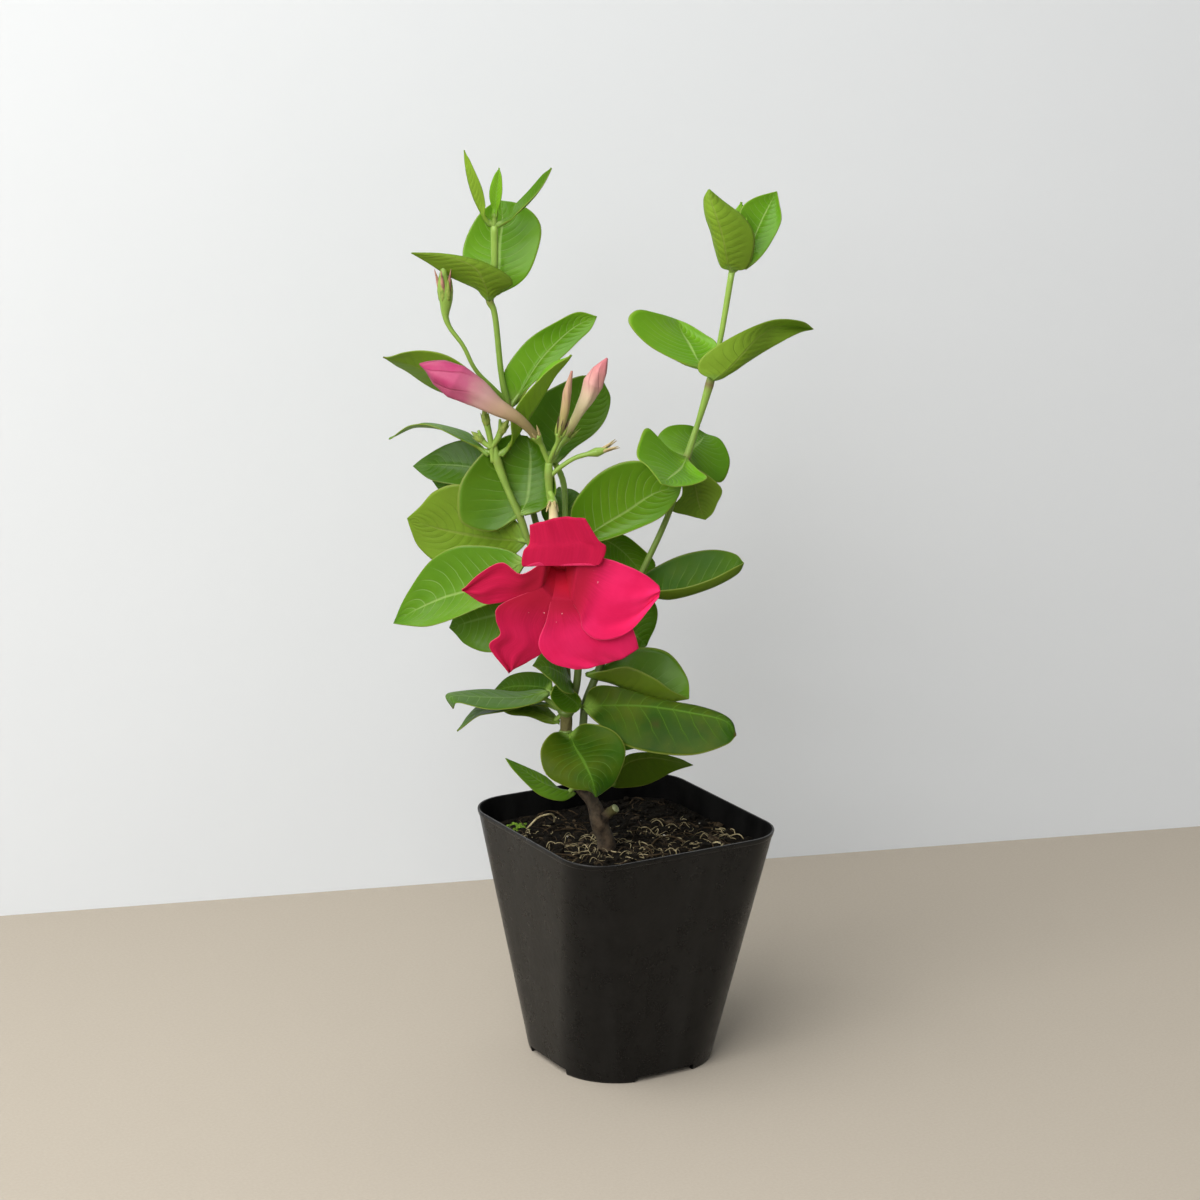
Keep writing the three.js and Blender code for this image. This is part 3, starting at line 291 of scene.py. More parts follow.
SECOND_PAIR = [
    draped(
        [-27, -18, 166], [-14, -70, 152],
        [[-24, -32, 163], [-20, -46, 161], [-16, -58, 156]],
        [[-20, -27, 174], [-7, -35, 173], [-1, -44, 166], [-5, -53, 155], [-10, -61, 152]],
        [[-35, -27, 169], [-40, -35, 163], [-37, -44, 154], [-27, -53, 151], [-17, -61, 152]],
    ),
]
TRUNK = stem(
    [4.8, 4.1, 3.9, 3.1, 2.8, 2.7, 2.7, 2.9], [-9, -16, 102], [-9, -16, 113], [-12, -16, 121],
    [-16, -15, 132], [-23, -14, 140], [-28, -13, 151], [-29, -12, 164], [-29, -11, 175],
)
STUB = stem([2.6, 2.4, 2.2], [-12, -16, 121], [-9, -18, 126], [-5, -20, 130])
TOP_LEFT_STEM = stem(
    [2.1, 1.9, 1.7, 1.6, 1.5, 1.5, 1.9, 1.4, 1.4, 1.9, 1.6, 1.8], [-31, -9, 180], [-29, -8, 190],
    [-33, -4, 218], [-40, 4, 245], [-48, 10, 273], [-55, 12, 306], [-59, 11, 318], [-62, 10, 331],
    [-66, 8, 363], [-68, 7, 368], [-66, 6, 383], [-66, 5, 403],
)
LEFT_STEM = stem(
    [1.6, 1.5, 1.5, 1.9, 1.6, 2.2, 1.2], [-36, -6, 233], [-43, -8, 247], [-48, -8, 257], [-52, -8, 268],
    [-58, -7, 281], [-63, -6, 294], [-65, -6, 304],
)
MIDDLE_STEM = stem(
    [2, 1.8, 1.8, 1.8, 1.7, 1.7, 1.7, 2.1, 1.8], [-26, -11, 181], [-24, -11, 191], [-24, -10, 210],
    [-27, -9, 229], [-30, -8, 248], [-35, -8, 263], [-38, -9, 277], [-39, -10, 289], [-39, -10, 295],
)
BACK_TWIG = stem([1.6, 1.5, 1.5, 1.4], [-30, -8, 248], [-31, 9, 263], [-33, 19, 281], [-40, 18, 294])
STALK_LARGE = stem([1.4, 1.3, 1.3, 2.6], [-39, -10, 295], [-41, -11, 300], [-43, -13, 305], [-45, -15, 309])
STALK_UPRIGHT = stem([1.4, 1.2, 1.2, 2.6], [-39, -10, 295], [-36, -9, 299], [-34, -8, 303], [-31, -7, 307])
STALK_SMALL = stem([1.2, 1.1, 1.1, 2.3], [-39, -10, 295], [-37, -13, 301], [-35, -15, 306], [-34, -16, 310])
SPENT_RIGHT = stem(
    [1.2, 1.1, 1.1, 1.2, 2.3, 1.6, 0.8], [-39, -10, 288], [-34, -11, 293], [-27, -12, 298], [-21, -12, 300],
    [-17, -12, 301], [-14, -12, 302], [-12, -12, 303],
)
STALK_OPEN = stem([1.4, 1.4, 2.7], [-39, -9, 282], [-37, -13, 279], [-37, -16, 277])
SPENT_LEFT = stem(
    [1.1, 1, 1, 1, 1.1, 1.5, 3.2, 3, 1], [-59, 11, 319], [-66, 6, 327], [-74, 2, 336], [-80, 0, 348],
    [-86, 0, 356], [-88, 0, 361], [-88, 0, 369], [-89, 0, 376], [-89, 0, 385],
)
YOUNG_A = stem([1.4, 1.3, 1.6, 0.6], [-65, -6, 294], [-66, -7, 303], [-68, -8, 312], [-69, -8, 317])
YOUNG_B = stem([1.1, 1.6, 0.6], [-66, -7, 301], [-62, -8, 308], [-62, -9, 315])
YOUNG_C = stem([1.1, 1.4, 0.5], [-66, -7, 301], [-70, -6, 304], [-72, -6, 309])
BUD_LARGE = stem(
    [1.6, 2.6, 4.4, 6.6, 8, 6, 2.8, 0.5], [-46, -16, 312], [-53, -18, 317], [-64, -18, 323],
    [-73, -17, 329], [-82, -16, 334], [-90, -15, 338], [-95, -14, 340], [-99, -13, 341],
)
BUD_UPRIGHT = stem(
    [1.5, 2.3, 3.6, 4.7, 3.4, 0.5], [-30, -7, 309], [-26, -8, 318], [-22, -9, 326], [-19, -9, 333],
    [-16, -10, 339], [-13, -11, 345],
)
BUD_SMALL = stem([1.3, 2.1, 2, 0.5], [-33, -16, 311], [-32, -17, 321], [-31, -17, 330], [-29, -18, 340])
TUBE = stem(
    [1.7, 2.4, 4.2, 5.8, 6.2], [-37, -18, 276], [-36, -24, 270], [-35, -32, 263], [-34, -38, 257],
    [-34, -42, 254],
)
RIGHT_STEM = stem(
    [1.6, 1.9, 1.9, 1.9, 1.9, 1.6, 1.5, 1.4, 1.9, 1.3, 2.1, 1.2, 1.5], [-26, -12, 147], [-23, -9, 155],
    [-21, -7, 166], [-20, -7, 178], [-16, -6, 189], [-2, -2, 223], [6, 0, 242], [17, 2, 268], [25, 3, 295],
    [30, 4, 312], [35, 4, 331], [39, 5, 349], [44, 5, 384],
)
MIDDLE_TWIGS = [BACK_TWIG, STALK_LARGE, STALK_UPRIGHT, STALK_SMALL, SPENT_RIGHT, STALK_OPEN]
YOUNG_TRUSS = [YOUNG_A, YOUNG_B, YOUNG_C]

# ---- the flower, in the plant's own coordinates ----
MOUTH = [-32, -52, 248]
FACING = [0.04, -0.99, -0.1]
PETAL_THICK, PETAL_RIM_THINNER = 0.6, 0.2
THROAT_DEPTH, THROAT_RISE = 12, 6
THROAT_SHARE = 0.2  # of a lobe's length
# Each lobe, seen from the front, in mm right of and above the middle of the mouth: its back edge, which
# the next lobe covers, its front edge, how far its end bends back, and how far its end bulges.
LOBES = [
    {
        "back": [[-7, 11], [-12, 10], [-17, 8.5], [-16.5, 15.5], [-14, 19], [-14, 27.5]],
        "front": [[8, 11], [12.5, 10.5], [17, 10.5], [19.5, 18.5], [16, 22], [10, 32]],
        "bend": 2, "bulge": 1.8,
    },
    {
        "back": [[-9, -2], [-19, -7], [-29, -10], [-36, -11], [-45, -6]],
        "front": [[-7, 11], [-18, 5], [-27, 10], [-37, 4], [-45, -5]],
        "bend": 7, "bulge": 0,
    },
    {
        "back": [[-4, -7], [-4, -13], [-8, -22], [-7, -33], [-14, -40], [-22, -46]],
        "front": [[-9, -2], [-27, -10], [-29, -17], [-27, -25], [-32, -32], [-23, -46]],
        "bend": 8, "bulge": 0,
    },
    {
        "back": [[5, -8], [16, -14], [30, -19], [34, -26], [36, -33]],
        "front": [[-4, -7], [-6, -17], [-9, -29], [-3, -38], [8, -42]],
        "bend": 4, "bulge": 2.5,
    },
    {
        "back": [[8, 11], [19, 12], [30, 8], [39, 3], [45, -2]],
        "front": [[5, -8], [9, -14], [11, -21], [19, -26], [32, -22], [44, -7]],
        "bend": 3, "bulge": 1,
    },
]

# leaf tones, in the order of the tables, from 0 dark to 1 bright: partly the leaf's age and partly
# painted shade, darker on low leaves that lie under others
FIRST_TONES, SECOND_TONES = (0.05, 0.4), (0.02,)
TOP_LEFT_TONES = (0.95, 0.85, 0.4, 0.5, 0.25, 0.6, 0.6, 0.6, 0.2, 0.2)
LEFT_TONES = (0.8, 0.5, 0.32, 0.6, 0.48)
MIDDLE_TONES = (0.2, 0.3, 0.22, 0.45, 0.4)
RIGHT_TONES = (0.9, 0.75, 0.42, 0.35, 0.15, 0.3, 0.0, 0.35, 0.75, 0.62, 0.75, 0.65)
LOW_TONES = (0.2, 0.2, 0.26, 0.04, 0.15, 0.3)
# each lobe's tone is painted shade: lobes that lean away from the light are painted darker
LOBE_PAINTED_SHADE = (0.1, 0.1, 0.32, 0.8, 1.0)
# places on the mix
MOSS_AT = [-54, 15, 108]
TUFTS = (
    (-44, 4), (-31, -9), (-21, -22), (-11, -27), (4, -20), (12, -12), (24, -8),
    (36, 0), (48, 6), (52, 12), (10, 14), (26, 20), (-8, -6), (18, 4),
)
# the larger roots: place, length, radius, heading, curl and how high they arch
BIG_ROOTS = [
    ([-48, 13, 108], 20, 0.5, -0.9, 0.12, 8.0),
    ([-20, -30, 108], 26, 0.5, 2.2, 0.2, 2.0),
    ([10, -28, 108], 22, 0.45, 0.6, -0.2, 1.5),
    ([30, -5, 108], 24, 0.45, 1.5, 0.25, 2.5),
    ([-5, -45, 108], 20, 0.5, 0.2, 0.15, 1.5),
    ([40, 10, 108], 26, 0.4, -1.0, -0.2, 2.0),
    ([15, -12, 108], 18, 0.5, 2.6, 0.3, 2.2),
]


# ---- small helpers ----
def vec(p):
    return np.array(p, dtype=float)


def unit(v):
    return v / max(1e-9, np.linalg.norm(v))


def smooth(a, b, x):
    t = np.clip((x - a) / (b - a), 0, 1)
    return t * t * (3 - 2 * t)


def noise(p, scale, seed=0.0):
    """Smooth noise from -1 to 1 at points p of shape (..., 3)."""
    q = np.asarray(p) * scale + seed * 17.3
    out = 0
    for k, (f, w) in enumerate([(1.0, 0.55), (2.1, 0.3), (4.3, 0.15)]):
        a = q * f + k * 5.1
        out = out + w * (
            np.sin(a[..., 0] + 1.7 * np.sin(a[..., 1] * 0.9 + 0.5))
            * np.cos(a[..., 1] * 1.1 + 1.3 * np.sin(a[..., 2] * 0.8 + 1.1))
            + np.sin(a[..., 2] * 1.2 + 1.1 * np.sin(a[..., 0] * 1.05))
        )
    return np.clip(out, -1.5, 1.5) / 1.5


# What the materials read at each point: place along, place across, upper side or not, tone, brownness.
DATA_KEYS = ("t", "u", "side", "tone", "brown")
T, U, SIDE, TONE, BROWN = range(len(DATA_KEYS))


class Mesh:
    """Collects closed pieces of one object, with numbers at the points. plant: they still need TO_ROW."""

    def __init__(self):
        self.points, self.faces, self.mats, self.data = [], [], [], []
        self.count = 0

    def add(self, points, faces, mat=0, plant=True, **data):
        points = np.asarray(points, dtype=float).reshape(-1, 3)
        if plant:
            points = points @ TO_ROW.T
        n = len(points)
        row = np.zeros((n, len(DATA_KEYS)))
        for i, key in enumerate(DATA_KEYS):
            if key in data:
                row[:, i] = np.broadcast_to(np.asarray(data[key], dtype=float).reshape(-1), (n,))
        self.points.append(points)
        self.data.append(row)
        self.faces += [tuple(int(v) + self.count for v in f) for f in faces]
        self.mats += [mat] * len(faces)
        self.count += n

    def build(self, name, materials, node=None, flat=False):
        mesh = bpy.data.meshes.new(name)
        points = np.concatenate(self.points) * MM
        mesh.from_pydata(points.tolist(), [], self.faces)
        data = np.concatenate(self.data)
        for i, key in enumerate(DATA_KEYS):
            layer = mesh.attributes.new("p_" + key, "FLOAT", "POINT")
            layer.data.foreach_set("value", data[:, i].astype(np.float32))
        for m in materials:
            mesh.materials.append(m)
        mesh.polygons.foreach_set("material_index", self.mats)
        mesh.polygons.foreach_set("use_smooth", [not flat] * len(mesh.polygons))
        mesh.update()
        obj = bpy.data.objects.new(name, mesh)
        scene.collection.objects.link(obj)
        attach(obj, "root")
        if node:
            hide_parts(node)
        return obj


def grid_faces(rows, columns, start=0, wrap=False, flip=False):
    faces = []
    for i in range(rows - 1):
        for j in range(columns if wrap else columns - 1):
            a = start + i * columns + j
            b = start + i * columns + (j + 1) % columns
            f = (a, b, b + columns, a + columns)
            faces.append(f[::-1] if flip else f)
    return faces


def tube_faces(rings, n):
    """Faces of rings of n points, closed at both ends to the two points that follow them."""
    faces = grid_faces(rings, n, wrap=True)
    first, last = n * rings, n * rings + 1
    for j in range(n):
        k = (j + 1) % n
        faces.append((first, k, j))
        faces.append((last, (rings - 1) * n + j, (rings - 1) * n + k))
    return faces


def sheet_solid(mesh, surface, thick, t_list, u_list, mat, **data):
    """A closed thin blade: both faces of surface(t, u), thick(t, u) apart, with its edge."""
    t, u = np.meshgrid(t_list, u_list, indexing="ij")
    step = 1e-3
    p = surface(t, u)
    along_t = surface(np.minimum(1, t + step), u) - surface(np.maximum(0, t - step), u)
    along_u = surface(t, np.minimum(1, u + step)) - surface(t, np.maximum(-1, u - step))
    normal = np.cross(along_u, along_t)
    normal /= np.maximum(1e-12, np.linalg.norm(normal, axis=-1, keepdims=True))
    half = (thick(t, u) / 2)[..., None]
    rows, columns = t.shape
    n = rows * columns
    points = np.concatenate([(p + normal * half).reshape(-1, 3), (p - normal * half).reshape(-1, 3)])
    faces = grid_faces(rows, columns) + grid_faces(rows, columns, n, flip=True)
    ring = list(range(columns))
    ring += [i * columns + columns - 1 for i in range(1, rows)]
    ring += [(rows - 1) * columns + j for j in range(columns - 2, -1, -1)]
    ring += [i * columns for i in range(rows - 2, 0, -1)]
    for k, a in enumerate(ring):
        b = ring[(k + 1) % len(ring)]
        faces.append((n + a, n + b, b, a))
    side = np.concatenate([np.ones(n), np.zeros(n)])
    mesh.add(points, faces, mat, t=np.tile(t.ravel(), 2), u=np.tile(u.ravel(), 2), side=side, **data)


def between(s, low, high, a, b):
    """From a at s = low to b at s = high."""
    return (high - s) / (high - low) * a + (s - low) / (high - low) * b


def spline(points, steps):
    """Points along the centripetal Catmull-Rom curve through points, with its tangents."""
    p = [vec(q) for q in points]
    p = [2 * p[0] - p[1]] + p + [2 * p[-1] - p[-2]]
    out = []
    for i in range(len(p) - 3):
        k = [0.0]
        for j in range(3):
            k.append(k[-1] + max(1e-4, np.linalg.norm(p[i + j + 1] - p[i + j]) ** 0.5))
        last = i == len(p) - 4
        for s in np.linspace(k[1], k[2], steps + 1)[: None if last else -1]:
            a1, a2, a3 = (between(s, k[j], k[j + 1], p[i + j], p[i + j + 1]) for j in range(3))
            b1, b2 = between(s, k[0], k[2], a1, a2), between(s, k[1], k[3], a2, a3)
            out.append(between(s, k[1], k[2], b1, b2))
    line = np.array(out)
    tangent = np.gradient(line, axis=0)
    tangent /= np.maximum(1e-9, np.linalg.norm(tangent, axis=1, keepdims=True))
    return line, tangent


def bar(mesh, points, radii, mat, sides=14, steps=8, shape=None, plant=True, tone=0.5, tip=0.0):
    """A round bar along points. shape(s, a) scales its radius, tip adds to CAP_RISE at its ends."""
    line, tangent = spline(points, steps)
    n = len(line)
    place = np.linspace(0, len(points) - 1, n)
    r = np.interp(place, np.arange(len(points)), radii)
    across = np.array([0.0, 1.0, 0.0])
    rings = []
    angles = np.linspace(0, 2 * math.pi, sides, endpoint=False)
    for k in range(n):
        across = across - across.dot(tangent[k]) * tangent[k]
        if np.linalg.norm(across) < 0.05:
            across = np.array([1.0, 0, 0]) - tangent[k][0] * tangent[k]
        across = unit(across)
        up = np.cross(tangent[k], across)
        s = k / (n - 1)
        scale = shape(s, angles) if shape else np.ones(sides)
        ring = line[k] + (r[k] * scale)[:, None] * (
            np.cos(angles)[:, None] * across + np.sin(angles)[:, None] * up
        )
        rings.append(ring)
    caps = [line[k] + tangent[k] * sign * r[k] * (CAP_RISE + tip) for k, sign in ((0, -1), (n - 1, 1))]
    t = np.append(np.repeat([k / (n - 1) for k in range(n)], sides), [0.0, 1.0])
    u = np.append(np.tile(angles / (2 * math.pi), n), [0.0, 0.0])
    points = np.concatenate(rings + [np.array(caps)])
    mesh.add(points, tube_faces(n, sides), mat, plant, t=t, u=u, side=1.0, tone=tone)
    return line


def end_of(stem, last=-1):
    """The end of a stem, which may be an earlier point of it, and the way it goes there."""
    end, before = vec(stem["points"][last]), vec(stem["points"][last - 1])
    return end, end - before


def curve(points, t):
    """A Catmull-Rom curve through evenly numbered points, at t from 0 to 1."""
    p = np.array(points, dtype=float)
    p = np.vstack([2 * p[0] - p[1], p, 2 * p[-1] - p[-2]])
    x = np.clip(t, 0, 1) * (len(points) - 1)
    i = np.minimum(x.astype(int), len(points) - 2)
    f = (x - i)[..., None]
    a, b, c, d = p[i], p[i + 1], p[i + 2], p[i + 3]
    return 0.5 * (2 * b + (c - a) * f + (2 * a - 5 * b + 4 * c - d) * f**2 + (3 * b - a - 3 * c + d) * f**3)


# ---- leaves ----
def leaf_width(t, stalk):
    """Half the width of a straight leaf as a share of its largest: the stalk, the oval blade, the point."""
    q = np.maximum(0, (t - PETIOLE_SHARE) / (1 - PETIOLE_SHARE))
    body = np.power(np.maximum(0, np.sin(math.pi * np.power(q, 0.95))), 0.72)
    point = 1 - 0.45 * smooth(0.86, 1, q)
    return np.maximum(stalk * (1 - 0.75 * q), body * point)


def straight_surface(leaf):
    """A leaf from its base to its tip, folded, arched, cupped, waved and hooked as its table says."""
    base, tip = vec(leaf["base"]), vec(leaf["tip"])
    length = np.linalg.norm(tip - base)
    along = (tip - base) / length
    up = vec(leaf["up"])
    up = unit(up - up.dot(along) * along)
    side = np.cross(along, up)
    arch, fold = leaf.get("arch", 4), math.radians(leaf.get("fold", 8))
    cup, wave, hook = leaf.get("cup", 0), leaf.get("wave", 0.8), leaf.get("hook", 2)
    phase = leaf["base"][0] + leaf["tip"][2]

    def at(t, u):
        half = (leaf["width"] / 2) * leaf_width(t, 2 * PETIOLE_RADIUS / leaf["width"])
        opened = smooth(PETIOLE_SHARE, 0.3, t)
        angle = fold * opened
        across = half * np.abs(u)
        ripple = wave * np.sin(9 * t + phase + 2 * np.sign(u)) * u * u * opened
        lift = across * np.sin(angle) + cup * across * np.abs(u) + ripple
        rise = arch * 4 * t * (1 - t) - hook * smooth(0.75, 1, t)
        return (
            base
            + along * (length * t)[..., None]
            + side * (half * u * np.cos(angle))[..., None]
            + up * (rise + lift)[..., None]
        )

    return at


def draped_surface(leaf):
    """A leaf drawn by its midrib and its two edges, with a slight wave along the edges."""
    across = unit(curve(leaf["right"], np.array(0.5)) - curve(leaf["left"], np.array(0.5)))
    phase = leaf["mid"][0][0] + leaf["mid"][-1][2]

    def at(t, u):
        mid, left, right = (curve(leaf[k], t) for k in ("mid", "left", "right"))
        bend = (left + right) / 2 - mid
        wave = 0.5 * np.sin(11 * t + phase + 2 * np.sign(u)) * u * u * np.sin(math.pi * t)
        point = mid + (right - left) * (u / 2)[..., None] + bend * (u * u)[..., None]
        point = point + across * (u * BASE_HALF * (1 - t))[..., None]
        return point + np.cross(across, [0, 0, 1.0]) * wave[..., None]

    return at


def surface_of(leaf):
    return draped_surface(leaf) if "mid" in leaf else straight_surface(leaf)


# where the points of a leaf lie along it and across it, closer at its ends and its margins
T_LEAF = np.concatenate(
    [np.linspace(0, 0.12, 5)[:-1], np.linspace(0.12, 0.9, 34)[:-1], np.linspace(0.9, 1, 10)]
)
U_LEAF = np.sin(np.linspace(-1, 1, 25) * math.pi / 2) * 0.35 + np.linspace(-1, 1, 25) * 0.65


def add_leaf(mesh, leaf, mat, tone):
    def thick(t, u):
        stalk = 1 - smooth(PETIOLE_SHARE, 0.2, t)
        rib = np.exp(-((u / 0.07) ** 2)) * (1 - smooth(0.1, 0.95, t))
        edge = 1 - 0.35 * smooth(0.85, 1, np.abs(u))
        return LEAF_THICK * edge + STALK_THICK * stalk + RIB_THICK * rib

    sheet_solid(mesh, surface_of(leaf), thick, T_LEAF, U_LEAF, mat, tone=tone)
    row = mesh.data[-1]
    for t, u, long, wide in leaf.get("dry", ()):
        spot = ((row[:, T] - t) / long) ** 2 + ((row[:, U] - u) / wide) ** 2
        row[:, BROWN] = np.maximum(row[:, BROWN], 0.9 * np.exp(-spot))


def add_stalk(mesh, stem, leaf, node):
    """Joins a leaf to node or to the nearest place on its stem. A leaf on a twig needs no stalk."""
    if leaf.get("twig"):
        return
    surface = surface_of(leaf)
    base = surface(np.array(0.0), np.array(0.0))
    if node is None:
        line, _ = spline(stem["points"], 20)
        near = line[np.argmin(np.linalg.norm(line - base, axis=1))]
    else:
        near = vec(node)
    inside = surface(np.array(0.08), np.array(0.0))
    middle = near + 0.55 * (inside - near)
    bar(mesh, [near, middle, inside], STALK_RADII, IN_STEM, sides=10, steps=3, tone=0.7)


# ---- materials ----
class Nodes:
    """A short way to write a node tree."""

    def __init__(self, name):
        self.mat = bpy.data.materials.new(name)
        self.mat.use_nodes = True
        self.tree = self.mat.node_tree
        self.bsdf = self.tree.nodes["Principled BSDF"]
        self.out = self.tree.nodes["Material Output"]

    def new(self, kind, **values):
        node = self.tree.nodes.new(kind)
        for key, value in values.items():
            setattr(node, key, value)
        return node

    def put(self, value, socket):
        if isinstance(value, bpy.types.NodeSocket):
            self.tree.links.new(value, socket)
        elif socket.type == "RGBA" and len(value) == 3:
            socket.default_value = (*value, 1)
        else:
            socket.default_value = value

    def math(self, op, a, b=0.0, c=0.0):
        node = self.new("ShaderNodeMath", operation=op)
        for k, v in enumerate((a, b, c)):
            self.put(v, node.inputs[k])
        return node.outputs[0]

    def mul(self, a, b):
        return self.math("MULTIPLY", a, b)

    def add(self, a, b):
        return self.math("ADD", a, b)

    def muladd(self, a, b, c):
        return self.math("MULTIPLY_ADD", a, b, c)

    def attribute(self, key):
        return self.new("ShaderNodeAttribute", attribute_name="p_" + key).outputs["Fac"]

    def smooth(self, value, a, b):
        """0 below a, 1 above b."""
        node = self.new("ShaderNodeMapRange", interpolation_type="SMOOTHSTEP")
        self.put(value, node.inputs["Value"])
        node.inputs["From Min"].default_value = a
        node.inputs["From Max"].default_value = b
        return node.outputs["Result"]

    def fade(self, value, a, b):
        """1 below a, 0 above b."""
        return self.math("SUBTRACT", 1.0, self.smooth(value, a, b))

    def mix(self, factor, a, b):
        """Colour a where factor is 0, colour b where it is 1."""
        node = self.new("ShaderNodeMix", data_type="RGBA")
        self.put(factor, node.inputs[0])
        self.put(a, node.inputs[6])
        self.put(b, node.inputs[7])
        return node.outputs[2]

    def lay(self, under, mask, share, over):
        """Colour over laid on colour under where the mask is 1, with this share."""
        return self.mix(self.mul(mask, share), under, over)

    def noise(self, scale, detail=3.0, rough=0.5, vector=None):
        node = self.new("ShaderNodeTexNoise")
        node.inputs["Scale"].default_value = scale
        node.inputs["Detail"].default_value = detail
        node.inputs["Roughness"].default_value = rough
        self.put(vector or self.new("ShaderNodeTexCoord").outputs["Object"], node.inputs["Vector"])
        return node.outputs["Fac"]

    def bump(self, height, distance, strength=1.0):
        node = self.new("ShaderNodeBump")
        node.inputs["Distance"].default_value = distance
        node.inputs["Strength"].default_value = strength
        self.put(height, node.inputs["Height"])
        self.put(node.outputs[0], self.bsdf.inputs["Normal"])

    def set(self, **values):
        names = {
            "color": "Base Color",
            "rough": "Roughness",
            "spec": "Specular IOR Level",
            "coat": "Coat Weight",
            "coat_rough": "Coat Roughness",
            "sheen": "Sheen Weight",
        }
        for key, value in values.items():
            self.put(value, self.bsdf.inputs[names[key]])

    def translucent(self, color, share):
        leaf = self.new("ShaderNodeBsdfTranslucent")
        self.put(color, leaf.inputs["Color"])
        mix = self.new("ShaderNodeMixShader")
        mix.inputs[0].default_value = share
        self.tree.links.new(self.bsdf.outputs[0], mix.inputs[1])
        self.tree.links.new(leaf.outputs[0], mix.inputs[2])
        self.tree.links.new(mix.outputs[0], self.out.inputs[0])


def leaf_material(name, spec, coat):
    """Green above, olive below, with veins and mottling, dark at a low tone and bright at a high one;
    the tone holds both the leaf's age and painted shade.
    """
    m = Nodes(name)
    t, u, side, tone, brown = (m.attribute(k) for k in ("t", "u", "side", "tone", "brown"))
    a = m.math("ABSOLUTE", u)
    # lateral veins leave the midrib forwards and curve near the margin
    bend = m.mul(a, m.muladd(a, 0.12, 0.08))
    place = m.mul(m.math("SUBTRACT", t, bend), 13.0)
    wobble = m.mul(m.noise(50, 2), 0.9)
    saw = m.math("PINGPONG", m.add(place, wobble), 0.5)
    lateral = m.fade(saw, 0.0, 0.07)
    lateral = m.mul(lateral, m.fade(a, 0.45, 0.97))
    midrib = m.fade(a, 0.012, 0.055)
    midrib = m.mul(midrib, m.fade(t, 0.7, 1.0))
    edge = m.smooth(a, 0.965, 0.995)
    blotch = m.smooth(m.noise(30, 3), 0.32, 0.7)
    fine = m.noise(420, 3)
    speck = m.smooth(m.noise(1500, 2), 0.62, 0.75)

    # the dark end serves old leaves and painted shade under other leaves, the bright end young, well-lit
    # ones
    old = m.mix(blotch, (0.013, 0.048, 0.001), (0.030, 0.085, 0.003))
    young = m.mix(blotch, (0.17, 0.43, 0.012), (0.26, 0.54, 0.026))
    top = m.mix(tone, old, young)
    # old leaves are mottled with yellow
    age = m.fade(tone, 0.0, 0.45)
    patch = m.smooth(m.noise(26, 4, 0.6), 0.42, 0.72)
    warm = m.mul(patch, m.muladd(age, 0.45, 0.12))
    top = m.mix(warm, top, m.mix(age, (0.20, 0.36, 0.02), (0.10, 0.115, 0.004)))
    near = m.fade(a, 0.0, 0.45)
    top = m.lay(top, near, 0.12, (0.13, 0.30, 0.02))
    pale = m.mix(tone, (0.11, 0.24, 0.02), (0.62, 0.82, 0.26))
    top = m.lay(top, lateral, 0.5, pale)
    top = m.lay(top, midrib, 0.62, pale)
    under = m.mix(tone, (0.070, 0.125, 0.003), (0.29, 0.46, 0.035))
    under = m.lay(under, blotch, 0.4, (0.11, 0.15, 0.012))
    under = m.lay(under, lateral, 0.3, (0.07, 0.11, 0.01))
    under = m.lay(under, midrib, 0.55, (0.26, 0.31, 0.06))
    color = m.mix(side, under, top)
    color = m.lay(color, edge, 0.55, (0.30, 0.34, 0.06))
    color = m.lay(color, fine, 0.14, (0.015, 0.035, 0.003))
    color = m.lay(color, speck, 0.10, (0.30, 0.40, 0.05))
    stalk = m.fade(t, 0.04, 0.13)
    color = m.mix(stalk, color, (0.20, 0.34, 0.05))
    color = m.mix(brown, color, (0.10, 0.045, 0.015))
    rough = m.muladd(side, -0.25, 0.60)
    rough = m.muladd(fine, 0.14, rough)
    m.set(color=color, rough=rough, spec=spec, coat=coat, coat_rough=0.18)
    quilt = m.mul(m.smooth(saw, 0.0, 0.5), m.fade(a, 0.5, 1.0))
    height = m.mul(m.math("SUBTRACT", quilt, m.math("MAXIMUM", lateral, midrib)), 0.45)
    height = m.muladd(m.noise(150, 3), 0.5, height)
    height = m.muladd(fine, 0.12, height)
    m.bump(height, 0.0004, 0.75)
    glow = m.mix(tone, (0.12, 0.28, 0.004), (0.46, 0.78, 0.03))
    m.translucent(m.mix(brown, glow, (0.1, 0.04, 0.01)), 0.30)
    return m.mat


def stem_material():
    """Grey-green to fresh green with the tone, brown where the side number is below 1."""
    m = Nodes("stem")
    tone = m.attribute("tone")
    streak = m.noise(160, 3)
    dark = m.mix(streak, (0.035, 0.055, 0.014), (0.075, 0.11, 0.026))
    bright = m.mix(streak, (0.16, 0.28, 0.035), (0.25, 0.38, 0.06))
    color = m.mix(m.smooth(tone, 0.0, 1.0), dark, bright)
    brown = m.smooth(m.attribute("side"), 0.99, 0.0)
    color = m.mix(brown, color, (0.15, 0.085, 0.04))
    m.set(color=color, rough=0.45, spec=0.4)
    m.bump(m.noise(700, 3), 0.0001, 0.6)
    return m.mat


def bark_material():
    """Brown bark that turns green towards the top."""
    m = Nodes("bark")
    n = m.noise(260, 6, 0.65)
    patch = m.smooth(m.noise(70, 3), 0.4, 0.65)
    color = m.mix(m.smooth(n, 0.3, 0.7), (0.012, 0.008, 0.005), (0.085, 0.058, 0.034))
    color = m.lay(color, patch, 0.3, (0.12, 0.10, 0.07))
    green = m.smooth(m.attribute("t"), 0.5, 0.95)
    color = m.lay(color, green, 0.75, (0.12, 0.11, 0.032))
    m.set(color=color, rough=0.8, spec=0.25)
    m.bump(n, 0.0012, 1.0)
    return m.mat


